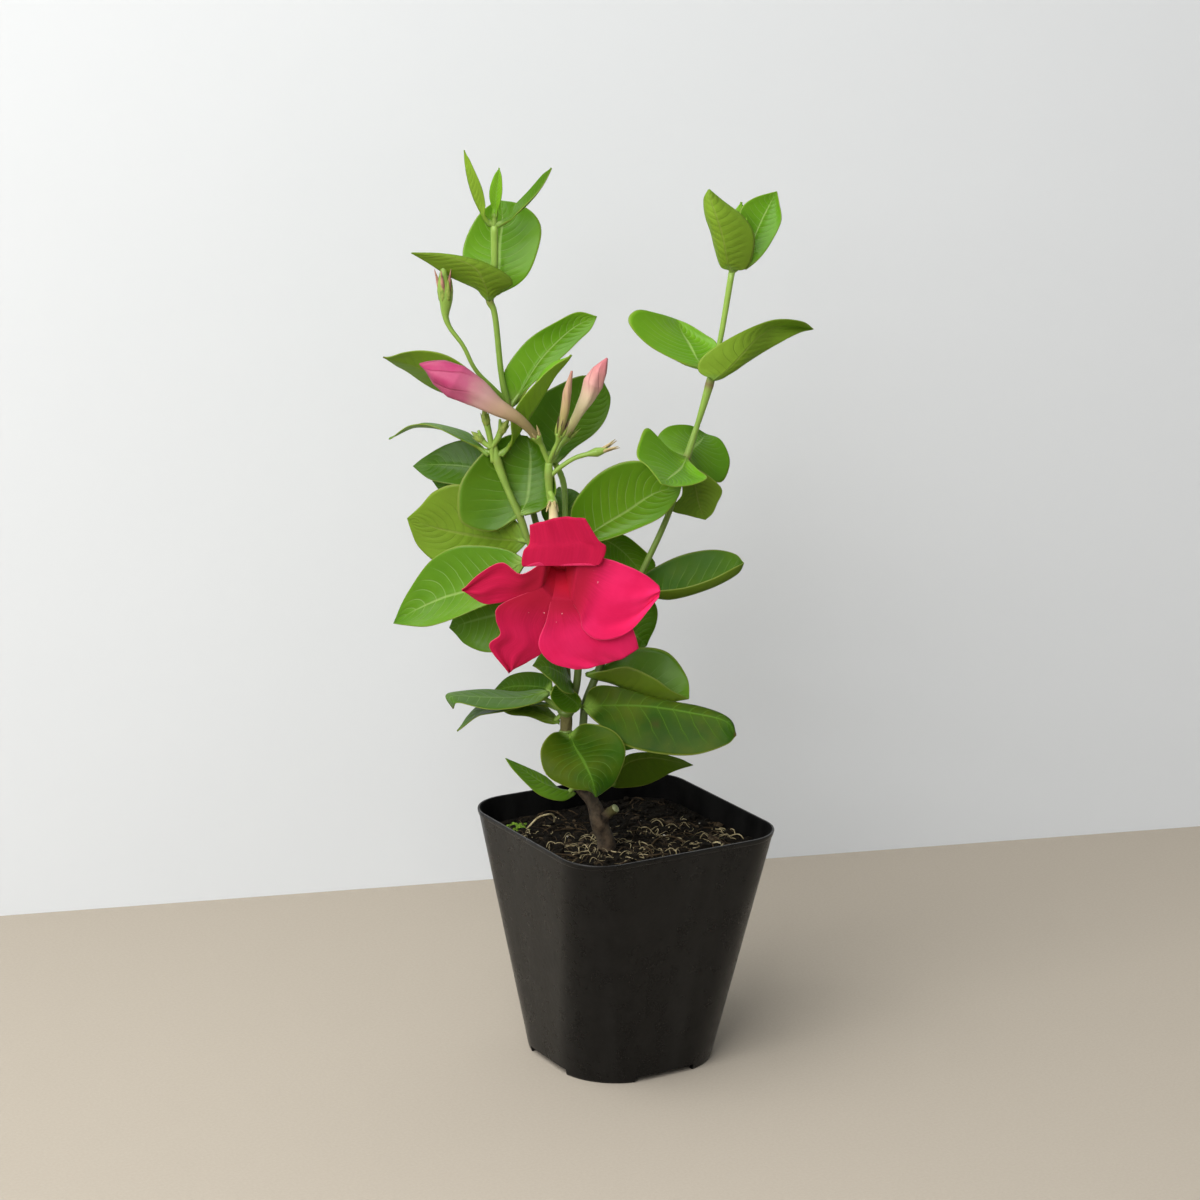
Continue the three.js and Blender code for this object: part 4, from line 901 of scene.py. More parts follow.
def petal_material(name, throat, rims, streaky):
    """A velvety lobe. throat: how far from its root the dark crimson reaches, the throat's own colour
    deepened
    by painted shade in the funnel. rims: how pale its rims are.
    """
    m = Nodes(name)
    t, u, side, tone = (m.attribute(k) for k in ("t", "u", "side", "tone"))
    streaks = m.new("ShaderNodeCombineXYZ")
    m.put(m.mul(u, 9.0), streaks.inputs[0])
    m.put(m.mul(t, 1.6), streaks.inputs[1])
    line = m.noise(2.4, 3, 0.5, streaks.outputs[0])
    cloud = m.noise(60, 3)
    dark = m.mix(m.smooth(line, 0.3, 0.7), (0.42, 0.005, 0.040), (0.46, 0.006, 0.046))
    bright = m.mix(m.smooth(cloud, 0.3, 0.7), (0.80, 0.012, 0.105), (0.90, 0.022, 0.145))
    # tone: painted shade, darker on lobes that face away from the light
    front = m.mix(tone, dark, bright)
    front = m.mix(m.mul(m.smooth(line, 0.45, 0.75), streaky), front, (0.95, 0.030, 0.17))
    # painted shade: the lobe darkens to crimson towards the throat, over the throat's own deeper colour
    deep = m.fade(m.add(t, m.mul(line, 0.1)), throat * 0.5, throat)
    front = m.lay(front, deep, 0.9, (0.36, 0.007, 0.028))
    inner = m.fade(t, 0.05, 0.2)
    front = m.mix(inner, front, (0.55, 0.010, 0.035))
    # a few pale flecks below the throat
    fleck = m.mul(m.smooth(t, 0.30, 0.36), m.fade(t, 0.42, 0.48))
    fleck = m.mul(fleck, m.smooth(m.noise(430, 2), 0.71, 0.75))
    front = m.mix(fleck, front, (0.85, 0.42, 0.45))
    back = m.mix(m.smooth(line, 0.3, 0.7), (0.56, 0.015, 0.08), (0.64, 0.03, 0.11))
    color = m.mix(side, back, front)
    rim = m.smooth(m.math("ABSOLUTE", u), 0.975, 1.0)
    color = m.lay(color, rim, rims, (0.95, 0.16, 0.28))
    m.set(color=color, rough=0.7, spec=0.12, sheen=0.03)
    height = m.muladd(m.noise(1100, 2), 0.2, m.mul(line, streaky))
    height = m.muladd(m.noise(130, 3), 0.8, height)
    m.bump(height, 0.00035, 0.4)
    m.translucent(m.mix(0.5, color, (0.85, 0.006, 0.06)), 0.22)
    return m.mat


def funnel_material():
    """The corolla's tube: cream at the calyx, through dusty pink, to crimson at the mouth."""
    m = Nodes("funnel")
    t = m.attribute("t")
    line = m.noise(500, 3)
    color = m.mix(m.smooth(t, 0.05, 0.35), (0.40, 0.38, 0.17), (0.60, 0.48, 0.30))
    color = m.mix(m.smooth(t, 0.4, 0.75), color, (0.50, 0.04, 0.08))
    color = m.mix(m.smooth(t, 0.9, 0.97), color, (0.70, 0.012, 0.045))
    color = m.lay(color, line, 0.2, (0.35, 0.02, 0.05))
    m.set(color=color, rough=0.6, spec=0.2)
    m.bump(line, 0.0002, 0.4)
    return m.mat


def bud_material(name, stops, seams=0.55):
    """stops: places from foot to tip with their colours. seams: how dark the lobes' edges are."""
    m = Nodes(name)
    t, u = m.attribute("t"), m.attribute("u")
    ramp = m.new("ShaderNodeValToRGB")
    elements = ramp.color_ramp.elements
    for element, (place, color) in zip(elements, (stops[0], stops[-1])):
        element.position, element.color = place, (*color, 1)
    for place, color in stops[1:-1]:
        elements.new(place).color = (*color, 1)
    cloud = m.noise(90, 3)
    m.put(m.add(t, m.muladd(cloud, 0.14, -0.07)), ramp.inputs[0])
    # the five lobes are rolled into each other, so their edges wind round the bud
    wind = m.add(m.mul(u, 5.0), m.mul(t, 3.2))
    saw = m.math("FRACT", wind)
    seam = m.fade(m.math("PINGPONG", wind, 0.5), 0.0, 0.07)
    there = m.smooth(t, 0.4, 0.62)
    seam = m.mul(seam, there)
    # painted highlight: each rolled lobe is painted paler towards one edge, up to the next seam
    light = m.mul(m.mul(m.smooth(saw, 0.25, 1.0), there), 0.14)
    color = m.mix(light, ramp.outputs[0], (0.52, 0.24, 0.29))
    line = m.noise(350, 4)
    color = m.lay(color, seam, seams, (0.24, 0.015, 0.06))
    color = m.lay(color, line, 0.12, (0.50, 0.26, 0.24))
    m.set(color=color, rough=0.55, spec=0.2)
    m.bump(m.add(m.mul(seam, -1.0), m.mul(line, 0.3)), 0.0005, 0.6)
    return m.mat


def pot_material(name, spec, rough_more):
    """Black plastic, satin outside and matt where rough_more is high."""
    m = Nodes(name)
    # upright paler bands, a painted sheen, under a fine mottle
    where = m.new("ShaderNodeMapping")
    m.put(m.new("ShaderNodeTexCoord").outputs["Object"], where.inputs["Vector"])
    where.inputs["Scale"].default_value = (1.0, 1.0, 0.12)
    painted_sheen_bands = m.smooth(m.noise(42, 4, 0.6, where.outputs[0]), 0.44, 0.68)
    mottle = m.smooth(m.noise(110, 8, 0.75), 0.38, 0.7)
    dust = m.smooth(m.noise(22, 5, 0.65), 0.48, 0.7)
    speck = m.smooth(m.noise(1500, 2), 0.70, 0.76)
    color = m.mix(mottle, (0.0008, 0.0008, 0.0008), (0.0040, 0.0038, 0.0036))
    color = m.lay(color, painted_sheen_bands, 0.35, (0.014, 0.0138, 0.0132))
    color = m.lay(color, dust, 0.2, (0.010, 0.0095, 0.0085))
    color = m.lay(color, speck, 0.25, (0.06, 0.056, 0.05))
    rough = m.muladd(mottle, 0.12, 0.26 + rough_more)
    rough = m.muladd(dust, 0.06, rough)
    m.set(color=color, rough=rough, spec=spec)
    m.bump(m.mul(mottle, 0.5), 0.00015, 0.5)
    return m.mat


def plain(name, a, b, scale, rough, bump, spec):
    """A mottle of the colours a and b. bump: depth of its relief in metres."""
    m = Nodes(name)
    n = m.noise(scale, 5, 0.6)
    m.set(color=m.mix(m.smooth(n, 0.3, 0.7), a, b), rough=rough, spec=spec)
    if bump:
        m.bump(n, bump, 1.0)
    return m.mat


LEAF = leaf_material("leaf", 0.15, 0.15)
OLD_LEAF = leaf_material("old_leaf", 0.08, 0.0)
STEM = stem_material()
BARK = bark_material()
PETAL = petal_material("petal", 0.64, 0.3, 0.12)
PETAL_TOP = petal_material("petal_top", 0.55, 0.0, 0.03)
FUNNEL = funnel_material()
BUD_LARGE_SKIN = bud_material(
    "bud_large",
    [
        (0.0, (0.17, 0.16, 0.05)),
        (0.14, (0.24, 0.19, 0.08)),
        (0.27, (0.37, 0.25, 0.16)),
        (0.38, (0.42, 0.24, 0.22)),
        (0.49, (0.36, 0.07, 0.14)),
        (0.62, (0.33, 0.020, 0.10)),
        (1.0, (0.29, 0.012, 0.08)),
    ],
)
BUD_UPRIGHT_SKIN = bud_material(
    "bud_upright",
    [
        (0.0, (0.22, 0.23, 0.07)),
        (0.12, (0.48, 0.46, 0.20)),
        (0.36, (0.56, 0.48, 0.30)),
        (0.60, (0.52, 0.28, 0.24)),
        (1.0, (0.44, 0.11, 0.13)),
    ],
    0.35,
)
BUD_SMALL_SKIN = bud_material(
    "bud_small",
    [
        (0.0, (0.22, 0.25, 0.05)),
        (0.45, (0.36, 0.27, 0.12)),
        (0.8, (0.42, 0.27, 0.16)),
        (1.0, (0.36, 0.16, 0.12)),
    ],
    0.25,
)
POT = pot_material("pot_plastic", 0.25, 0.0)
POT_INSIDE = pot_material("pot_inside", 0.04, 0.35)
SOIL = plain("soil", (0.0018, 0.0014, 0.0009), (0.008, 0.006, 0.0036), 900, 0.95, 0.0014, 0.1)
CRUMB = plain("crumb", (0.002, 0.0016, 0.001), (0.010, 0.0075, 0.0045), 500, 0.95, 0.0006, 0.1)
CHIP = plain("chip", (0.020, 0.014, 0.008), (0.07, 0.050, 0.028), 450, 0.9, 0.0006, 0.15)
ROOT = plain("root", (0.20, 0.16, 0.08), (0.50, 0.42, 0.24), 300, 0.8, 0.0002, 0.2)
DARK_ROOT = plain("dark_root", (0.014, 0.009, 0.005), (0.060, 0.040, 0.020), 300, 0.9, 0.0002, 0.15)
PERLITE = plain("perlite", (0.35, 0.33, 0.28), (0.60, 0.58, 0.52), 700, 0.85, 0.0004, 0.3)
MOSS = plain("moss", (0.05, 0.13, 0.01), (0.20, 0.32, 0.03), 900, 0.9, 0.0006, 0.2)
SEPAL = plain("sepal", (0.13, 0.20, 0.025), (0.26, 0.32, 0.06), 500, 0.6, 0.0001, 0.3)
PINK_SEPAL = plain("pink_sepal", (0.20, 0.085, 0.06), (0.40, 0.20, 0.14), 400, 0.6, 0.0001, 0.3)
TAN_SEPAL = plain("tan_sepal", (0.26, 0.21, 0.08), (0.46, 0.36, 0.18), 400, 0.6, 0.0001, 0.3)
DARK_SEPAL = plain("dark_sepal", (0.045, 0.028, 0.016), (0.12, 0.075, 0.04), 400, 0.6, 0.0001, 0.3)
CUT_WOOD = plain("cut_wood", (0.20, 0.24, 0.10), (0.42, 0.44, 0.24), 500, 0.8, 0.0002, 0.25)


# ---- the pot ----
CORNERS = ((1, 1), (-1, 1), (-1, -1), (1, -1))


def rounded_square(side, corner, z, arc=14, straight=6):
    """arc and straight: in how many parts its corners and its sides are cut."""
    ring = []
    inner = side / 2 - corner

    def on_arc(q, a):
        sx, sy = CORNERS[q % 4]
        return [sx * inner + corner * math.cos(a), sy * inner + corner * math.sin(a), z]

    for q in range(4):
        ring += [on_arc(q, (q + k / arc) * math.pi / 2) for k in range(arc + 1)]
        end, start = vec(ring[-1]), vec(on_arc(q + 1, (q + 1) * math.pi / 2))
        ring += [list(end + (start - end) * k / straight) for k in range(1, straight)]
    return np.array(ring)


def pot_ring(z, inwards):
    """The pot's outline at height z, moved inwards."""
    share = z / POT_HEIGHT
    side = POT_FOOT + (POT_TOP - POT_FOOT) * share
    corner = POT_FOOT_CORNER + (POT_TOP_CORNER - POT_FOOT_CORNER) * share
    return rounded_square(side - 2 * inwards, corner - inwards, z)


def closed_rings(mesh, rings):
    """A closed body from rings that go round the same way, its two ends closed to their middles."""
    points = np.concatenate(rings + [[rings[0].mean(0)], [rings[-1].mean(0)]])
    mesh.add(points, tube_faces(len(rings), len(rings[0])), plant=False)


def cutter(points, faces):
    mesh = bpy.data.meshes.new("cutter")
    mesh.from_pydata((np.array(points) * MM).tolist(), [], faces)
    mesh.update()
    obj = bpy.data.objects.new("cutter", mesh)
    scene.collection.objects.link(obj)
    return obj


def box_cutter(x, y, z0, z1):
    """Half as wide as x and y in each direction, from z0 to z1."""
    p = [(sx * x, sy * y, z) for z in (z0, z1) for sx, sy in ((-1, -1), (1, -1), (1, 1), (-1, 1))]
    f = [(3, 2, 1, 0), (4, 5, 6, 7), (0, 1, 5, 4), (1, 2, 6, 5), (2, 3, 7, 6), (3, 0, 4, 7)]
    return cutter(p, f)


def round_cutter(x, y, r, z0, z1, sides=32):
    turn = np.linspace(0, 2 * math.pi, sides, endpoint=False)
    p = [(x + r * math.cos(a), y + r * math.sin(a), z) for z in (z0, z1) for a in turn]
    f = [(i, (i + 1) % sides, sides + (i + 1) % sides, sides + i) for i in range(sides)]
    f += [tuple(range(sides))[::-1], tuple(range(sides, 2 * sides))]
    return cutter(p, f)


def make_pot():
    """A shell with a turned rim and a raised floor, notched between its four feet, with drain holes."""
    mesh = Mesh()
    rim_low = POT_HEIGHT - RIM_HEIGHT
    floor_top = FOOT_HEIGHT + POT_FLOOR
    # the height of each ring and how far inwards it lies: below the pot, up its outside, down its inside
    profile = [(FOOT_HEIGHT, FOOT_WALL + 8), (FOOT_HEIGHT, FOOT_WALL), (0.2, FOOT_WALL)]
    profile += [(0, FOOT_WALL - 0.3), (0, 0.5), (0.4, 0.1)]
    profile += [(z, 0) for z in np.linspace(1.5, rim_low, 12)]
    profile += [(rim_low + 0.15, -0.2), (rim_low + 0.4, -RIM_OUT), (POT_HEIGHT - 0.35, -RIM_OUT)]
    profile += [(POT_HEIGHT - 0.08, -RIM_OUT + 0.15), (POT_HEIGHT, -0.1), (POT_HEIGHT, 0.7)]
    profile += [(POT_HEIGHT - 0.25, 1.1)]
    profile += [(z, POT_WALL) for z in np.linspace(POT_HEIGHT - 1, floor_top, 10)]
    profile += [(floor_top, POT_WALL + 8)]
    rings = [pot_ring(z, inwards) for z, inwards in profile]
    closed_rings(mesh, rings)
    obj = mesh.build("pot_visual", [POT, POT_INSIDE])
    cuts = [box_cutter(FOOT_NOTCH_WIDTH / 2, POT_FOOT, -1, FOOT_HEIGHT - 0.6)]
    cuts += [box_cutter(POT_FOOT, FOOT_NOTCH_WIDTH / 2, -1, FOOT_HEIGHT - 0.6)]
    for x in (-DRAIN_OFFSET, DRAIN_OFFSET):
        for y in (-DRAIN_OFFSET, DRAIN_OFFSET):
            cuts.append(round_cutter(x, y, DRAIN_RADIUS, -1, floor_top + 1))
    for c in cuts:
        mod = obj.modifiers.new("cut", "BOOLEAN")
        mod.operation, mod.solver, mod.object = "DIFFERENCE", "EXACT", c
    bpy.context.view_layer.update()
    done = bpy.data.meshes.new_from_object(obj.evaluated_get(bpy.context.evaluated_depsgraph_get()))
    obj.modifiers.clear()
    obj.data = done
    for c in cuts:
        bpy.data.objects.remove(c)
    # the inside is matt
    for face in done.polygons:
        faces_in = face.center.x * face.normal.x + face.center.y * face.normal.y < 0
        face.material_index = 1 if faces_in and face.center.z > floor_top * MM else 0
    done.polygons.foreach_set("use_smooth", [True] * len(done.polygons))
    done.set_sharp_from_angle(angle=math.radians(38))
    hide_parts("pot")


# ---- the potting mix ----
TRUNK_FOOT = vec(TRUNK["points"][1]) @ TO_ROW.T


def mix_height(x, y):
    """The uneven top of the mix, with a low mound round the trunk."""
    p = np.stack([x, y, np.zeros_like(x)], axis=-1)
    mound = 1.2 * np.exp(-((x - TRUNK_FOOT[0]) ** 2 + (y - TRUNK_FOOT[1]) ** 2) / 250)
    waves = MIX_TOP + 0.9 * noise(p, 0.09, 1) + 0.7 * noise(p, 0.31, 2) + 0.35 * noise(p, 0.9, 3)
    return waves + mound - 0.6


def mix_point(edge):
    """A random place on the mix, edge: the share of it that is used."""
    while True:
        x, y = rng.uniform(-MIX_HALF, MIX_HALF, 2) * edge
        if (abs(x) / MIX_HALF) ** 5 + (abs(y) / MIX_HALF) ** 5 < edge**5:
            return np.array([x, y, float(mix_height(np.array(x), np.array(y)))])


GOLD = (1 + 5**0.5) / 2
ICO_POINTS = np.array(
    [(-1, GOLD, 0), (1, GOLD, 0), (-1, -GOLD, 0), (1, -GOLD, 0), (0, -1, GOLD), (0, 1, GOLD)]
    + [(0, -1, -GOLD), (0, 1, -GOLD), (GOLD, 0, -1), (GOLD, 0, 1), (-GOLD, 0, -1), (-GOLD, 0, 1)]
)
ICO_POINTS = ICO_POINTS / np.linalg.norm(ICO_POINTS[0])
ICO_FACES = [(0, 11, 5), (0, 5, 1), (0, 1, 7), (0, 7, 10), (0, 10, 11), (1, 5, 9), (5, 11, 4), (11, 10, 2)]
ICO_FACES += [(10, 7, 6), (7, 1, 8), (3, 9, 4), (3, 4, 2), (3, 2, 6), (3, 6, 8), (3, 8, 9), (4, 9, 5)]
ICO_FACES += [(2, 4, 11), (6, 2, 10), (8, 6, 7), (9, 8, 1)]


def add_crumb(mesh, at, size, mat, flat=0.7):
    """A flattened icosahedron with its points shaken, turned at random."""
    q, _ = np.linalg.qr(rng.normal(size=(3, 3)))
    if np.linalg.det(q) < 0:
        q[:, 0] *= -1
    stretch = rng.uniform(0.6, 1.25, 3)
    pts = (ICO_POINTS * stretch * (1 + 0.22 * rng.normal(size=(12, 1)))) @ q.T * size
    pts[:, 2] *= flat
    mesh.add(pts + at, ICO_FACES, mat, plant=False)


def add_fibre(mesh, at, length, radius, heading, curl, lift, mat, steps=7):
    """A root fibre that winds over the mix from a point and rises to lift in its middle."""
    pts = []
    p = vec(at)
    bend = heading
    for k in range(steps):
        x, y, z = p
        ground = float(mix_height(np.array(x), np.array(y)))
        hump = lift * math.sin(math.pi * k / (steps - 1))
        pts.append([x, y, ground + radius * 0.6 + hump])
        bend += curl + rng.normal() * FIBRE_WANDER
        p = p + np.array([math.cos(bend), math.sin(bend), 0]) * length / (steps - 1)
        # it turns back before the pot's wall
        if (abs(p[0]) / MIX_HALF) ** 5 + (abs(p[1]) / MIX_HALF) ** 5 > 0.85:
            bend += 2.2
            p[:2] *= 0.94
    radii = [radius * 0.6] + [radius] * (steps - 2) + [radius * 0.35]
    bar(mesh, pts, radii, mat, sides=5, steps=2, plant=False)


def make_mix():
    """The body of the mix, its loose crumbs with grit and moss, and dry root fibres."""
    mesh = Mesh()
    bottom = FOOT_HEIGHT + POT_FLOOR + GAP
    inwards = POT_WALL + GAP
    rings = [pot_ring(bottom, inwards), pot_ring(60, inwards), pot_ring(MIX_TOP - 3, inwards)]
    for share in np.linspace(1, 0.015, 64):
        ring = pot_ring(MIX_TOP, inwards + 0.2)
        x, y = ring[:, 0] * share, ring[:, 1] * share
        rings.append(np.stack([x, y, mix_height(x, y)], axis=-1))
    closed_rings(mesh, rings)
    mesh.build("mix_visual", [SOIL], "potting_mix")
    bits = Mesh()
    crumb_mat, perlite_mat, moss_mat, chip_mat = range(4)
    for _ in range(CRUMBS):
        at = mix_point(0.99)
        size = 0.5 + 2.2 * rng.random() ** 3
        add_crumb(bits, at + [0, 0, 0.1 * size], size, crumb_mat if rng.random() < 0.95 else chip_mat)
    for _ in range(PERLITES):
        at = mix_point(0.97)
        add_crumb(bits, at + [0, 0, 0.3], 0.4 + 0.6 * rng.random(), perlite_mat)
    moss_at = vec(MOSS_AT) @ TO_ROW.T
    for _ in range(MOSS_BITS):
        x, y = moss_at[:2] + rng.normal(size=2) * [3.0, 2.2]
        if max(abs(x), abs(y)) > MIX_HALF - 1.5:
            continue
        z = float(mix_height(np.array(x), np.array(y))) + 0.4
        add_crumb(bits, [x, y, z], 0.4 + 0.6 * rng.random(), moss_mat)
    bits.build("mix_bits", [CRUMB, PERLITE, MOSS, CHIP], None, flat=True)
    roots = Mesh()
    pale_mat, dark_mat, tan_mat = range(3)
    for _ in range(LOOSE_FIBRES):
        at = mix_point(0.93)
        length = 6 + 18 * rng.random() ** 2
        radius = 0.14 + 0.26 * rng.random() ** 2
        lift = 1.8 * rng.random() ** 2
        mat = pale_mat if rng.random() < 0.15 else dark_mat
        add_fibre(roots, at, length, radius, rng.random() * 6.3, rng.normal() * 0.22, lift, mat)
    # tufts of short curly pale fibres, mainly towards the viewer
    for x, y in TUFTS:
        for _ in range(TUFT_FIBRES):
            at = (vec([x, y, MIX_TOP]) + [*(rng.normal(size=2) * 4.5), 0]) @ TO_ROW.T
            if max(abs(at[0]), abs(at[1])) > MIX_HALF - 2:
                continue
            radius = 0.09 + 0.17 * rng.random() ** 2
            curl = rng.normal() * 0.16
            lift = 0.4 + 2.6 * rng.random() ** 2
            mat = pale_mat if rng.random() < 0.6 else tan_mat
            add_fibre(roots, at, 3 + 10 * rng.random(), radius, rng.random() * 6.3, curl, lift, mat)
    for at, length, radius, heading, curl, lift in BIG_ROOTS:
        mat = pale_mat if lift > 4 else dark_mat
        add_fibre(roots, vec(at) @ TO_ROW.T, length, radius, heading, curl, lift, mat, steps=9)
    roots.build("mix_roots", [ROOT, DARK_ROOT, CHIP], None)


# ---- the plant ----
SHOOT_SKINS = [LEAF, STEM, SEPAL, PINK_SEPAL, TAN_SEPAL, DARK_SEPAL, OLD_LEAF]
IN_LEAF, IN_STEM, IN_SEPAL, IN_PINK, IN_TAN, IN_DARK, IN_OLD = range(len(SHOOT_SKINS))


def stem_bar(mesh, stem, sides=16, steps=8, brown=0.0):
    """A slightly uneven stem. brown: how brown its swollen nodes are."""

    def shape(s, a):
        return 1 + 0.03 * np.sin(3 * a + 9 * s) + 0.02 * np.sin(7 * a + 23 * s)

    line = bar(mesh, stem["points"], stem["radii"], IN_STEM, sides, steps, shape)
    r = stem["radii"]
    share = np.ones(len(line))
    for k in range(1, len(r) - 1):
        if brown and r[k] > r[k - 1] + 0.1 and r[k] > r[k + 1] + 0.1:
            away = np.linalg.norm(line - vec(stem["points"][k]), axis=1)
            share = np.minimum(share, 1 - brown * np.exp(-(away**2) / 7))
    mesh.data[-1][: len(line) * sides, SIDE] = np.repeat(share, sides)


def leaf_node(
    name, stem, leaves, tones, ring=None,
    twigs=(), stem_tone=None, brown=0.0, slot="leaf_dark", extra=None,
):
    """Leaves with their stem, or with the ring by which they clasp it at its point number ring."""
    mesh = Mesh()
    if ring is None:
        node = None
        stem_bar(mesh, stem, brown=brown)
        row = mesh.data[-1]
        row[:, TONE] = stem_tone[0] + (stem_tone[1] - stem_tone[0]) * row[:, T]
    else:
        node = x, y, z = stem["points"][ring]
        radius = stem["radii"][ring] + CLASP_OUT
        line = [[x, y, z + rise] for rise in (-CLASP_HALF, 0, CLASP_HALF)]
        bar(mesh, line, [radius * 0.7, radius, radius * 0.7], IN_STEM, sides=18, steps=4, tone=0.4)
    for twig in twigs:
        stem_bar(mesh, twig, sides=12, steps=6)
        mesh.data[-1][:, TONE] = 0.85
    for leaf, tone in zip(leaves, tones):
        add_leaf(mesh, leaf, IN_LEAF if tone > 0.1 else IN_OLD, tone)
        add_stalk(mesh, stem, leaf, node)
    if extra:
        extra(mesh)
    mesh.build(name + "_visual", SHOOT_SKINS, name)


def sepals(mesh, centre, axis, radius, length, spread, mat, count=5, width=1.3):
    """Narrow pointed sepals in a ring round an axis."""
    axis = unit(vec(axis))
    across = unit(np.cross(axis, [0.3, 0.9, 0.1]))
    other = np.cross(axis, across)
    for k in range(count):
        a = 2 * math.pi * k / count + 0.4
        out = math.cos(a) * across + math.sin(a) * other
        p0 = vec(centre) + out * radius * 0.8
        p1 = vec(centre) + out * (radius + 0.25) + axis * length * 0.45
        p2 = vec(centre) + out * (radius + spread) + axis * length
        bar(mesh, [p0, p1, p2], [width * 0.6, width * 0.5, 0.12], mat, sides=7, steps=3, tone=0.9)


def seated(stalk, bud):
    """The points and radii of a bud, its foot put into the end of its stalk."""
    end, way = end_of(stalk)
    return [end - unit(way) * CALYX_DEPTH] + bud["points"][1:], bud["radii"]


def make_bud(name, stalk, body, mat, twist=1.6, fat=0.06):
    """twist: how far its five rolled lobes wind round it. fat: how far they stand out."""
    mesh = Mesh()

    def shape(s, a):
        full = smooth(0.15, 0.4, s) * (1 - smooth(0.93, 1, s))
        return 1 + fat * full * np.sin(5 * (a + twist * s)) + 0.02 * np.sin(2 * a + 5 * s)

    bar(mesh, *seated(stalk, body), 0, sides=40, steps=12, shape=shape, tip=0.3)
    mesh.build(name + "_visual", [mat], name)


def lobe_surface(lobe):
    """One lobe: it starts deep in the throat, opens outwards at the mouth and bends back."""
    facing = unit(vec(FACING))
    right = unit(np.cross([0, 0, 1.0], facing))
    up = np.cross(facing, right)
    middle = vec(MOUTH)

    def at(t, u):
        out = np.maximum(0, (t - THROAT_SHARE) / (1 - THROAT_SHARE))
        inside = np.maximum(0, 1 - t / THROAT_SHARE)
        w = ((1 + u * (1.04 + 0.15 * inside)) / 2)[..., None]
        p = curve(lobe["back"], out) * (1 - w) + curve(lobe["front"], out) * w
        size = np.maximum(1e-6, np.linalg.norm(p, axis=-1))
        p = p * ((1 + lobe["bulge"] * out * out * (1 - u * u) / size) * (1 - 0.5 * inside))[..., None]
        opened = smooth(0, 0.3, out)
        ruffle = 0.8 * np.sin(5 * u + 4 * out) * out + 0.3 * np.sin(13 * u + 7 * out) * out**3
        rise = 1.5 * opened - lobe["bend"] * out * out + ruffle + 1.3 * u * opened
        forward = rise - THROAT_DEPTH * inside**1.3
        y = p[..., 1:2] + (THROAT_RISE * inside**2)[..., None]
        return middle + right * p[..., :1] + up * y + facing * forward[..., None]

    return at


LOBE_T = np.concatenate([np.linspace(0, THROAT_SHARE, 14)[:-1], np.linspace(THROAT_SHARE, 1, 40)])


def make_corolla():
    """Five lobes, each covering the back edge of the one before, on the funnel that ends in its stalk."""
    mesh = Mesh()
    petal_mat, funnel_mat, top_mat = range(3)

    def thick(t, u):
        return PETAL_THICK - PETAL_RIM_THINNER * smooth(0.8, 1, np.maximum(t, np.abs(u)))

    for k, (lobe, tone) in enumerate(zip(LOBES, LOBE_PAINTED_SHADE)):
        mat = petal_mat if k else top_mat
        sheet_solid(mesh, lobe_surface(lobe), thick, LOBE_T, np.linspace(-1, 1, 36), mat, tone=tone)
    # the tube's end is sunk, as the floor of the throat
    bar(mesh, *seated(STALK_OPEN, TUBE), funnel_mat, sides=32, steps=9, tip=-0.9)
    mesh.build("corolla_visual", [PETAL, FUNNEL, PETAL_TOP], "corolla")


def make_trunk():
    """The woody stem with its knot, and the stub of a shoot that was cut off."""
    mesh = Mesh()
    bark_mat, wood_mat = range(2)

    def shape(s, a):
        knot = 0.16 * np.exp(-(((s - 0.3) / 0.05) ** 2)) * (1 + 0.5 * np.sin(2 * a + 1))
        coarse = 1 + knot + 0.06 * np.sin(3 * a + 14 * s) + 0.05 * np.sin(5 * a - 31 * s)
        return coarse + 0.03 * np.sin(11 * a + 60 * s)

    bar(mesh, TRUNK["points"], TRUNK["radii"], bark_mat, sides=28, steps=12, shape=shape)
    bar(mesh, STUB["points"], STUB["radii"], bark_mat, sides=20, steps=6, shape=shape)
    # the pale cut at the end of the stub
    end, way = end_of(STUB)
    cut = [end + unit(way) * out for out in (0.2, 0.75)]
    bar(mesh, cut, [STUB["radii"][-1] * 0.93] * 2, wood_mat, sides=20, steps=2)
    mesh.build("trunk_visual", [BARK, CUT_WOOD], "trunk")


def truss_extra(mesh):
    """The calyces of the flower and the buds, and the one of a fallen flower, which points to the right."""
    calyces = (
        (STALK_LARGE, 4.5, 0.9, IN_TAN, 1.3),
        (STALK_UPRIGHT, 7.5, 1.0, IN_SEPAL, 1.3),
        (STALK_SMALL, 6.0, 0.8, IN_SEPAL, 1.4),
        (STALK_SMALL, 9.5, 0.8, IN_DARK, 0.8),
        (STALK_OPEN, 5.0, 1.0, IN_TAN, 1.3),
    )
    for stalk, length, spread, mat, width in calyces:
        end, way = end_of(stalk)
        sepals(mesh, end - unit(way) * 0.6, way, 2.0, length, spread, mat, width=width)
    end, way = end_of(SPENT_RIGHT)
    sepals(mesh, SPENT_RIGHT["points"][-2], way, 1.2, 7.5, 1.4, IN_TAN, count=4, width=1.2)


def spent_extra(mesh):
    """Two rings of sepals round the end of the spent stalk."""
    foot, middle, end = (vec(p) for p in SPENT_LEFT["points"][-3:])
    sepals(mesh, foot, end - foot, 2.3, 9.5, 0.9, IN_SEPAL, count=6, width=2.4)
    sepals(mesh, foot + (middle - foot) * 0.4, end - foot, 2.5, 11.5, 1.7, IN_PINK, width=1.9)


def young_extra(mesh):
    """Small pointed green buds at the ends of the young truss."""
    for twig, size in zip(YOUNG_TRUSS, (9.0, 9.0, 7.0)):
        end, way = end_of(twig, -2)
        line = [end + unit(way) * size * share for share in (-0.1, 0.25, 0.6, 1.0)]
        bar(mesh, line, [1.2, 2.1, 1.4, 0.15], IN_SEPAL, sides=12, steps=4, tone=0.9)
        sepals(mesh, end, way, 1.1, size * 0.7, 0.7, IN_SEPAL, count=4)


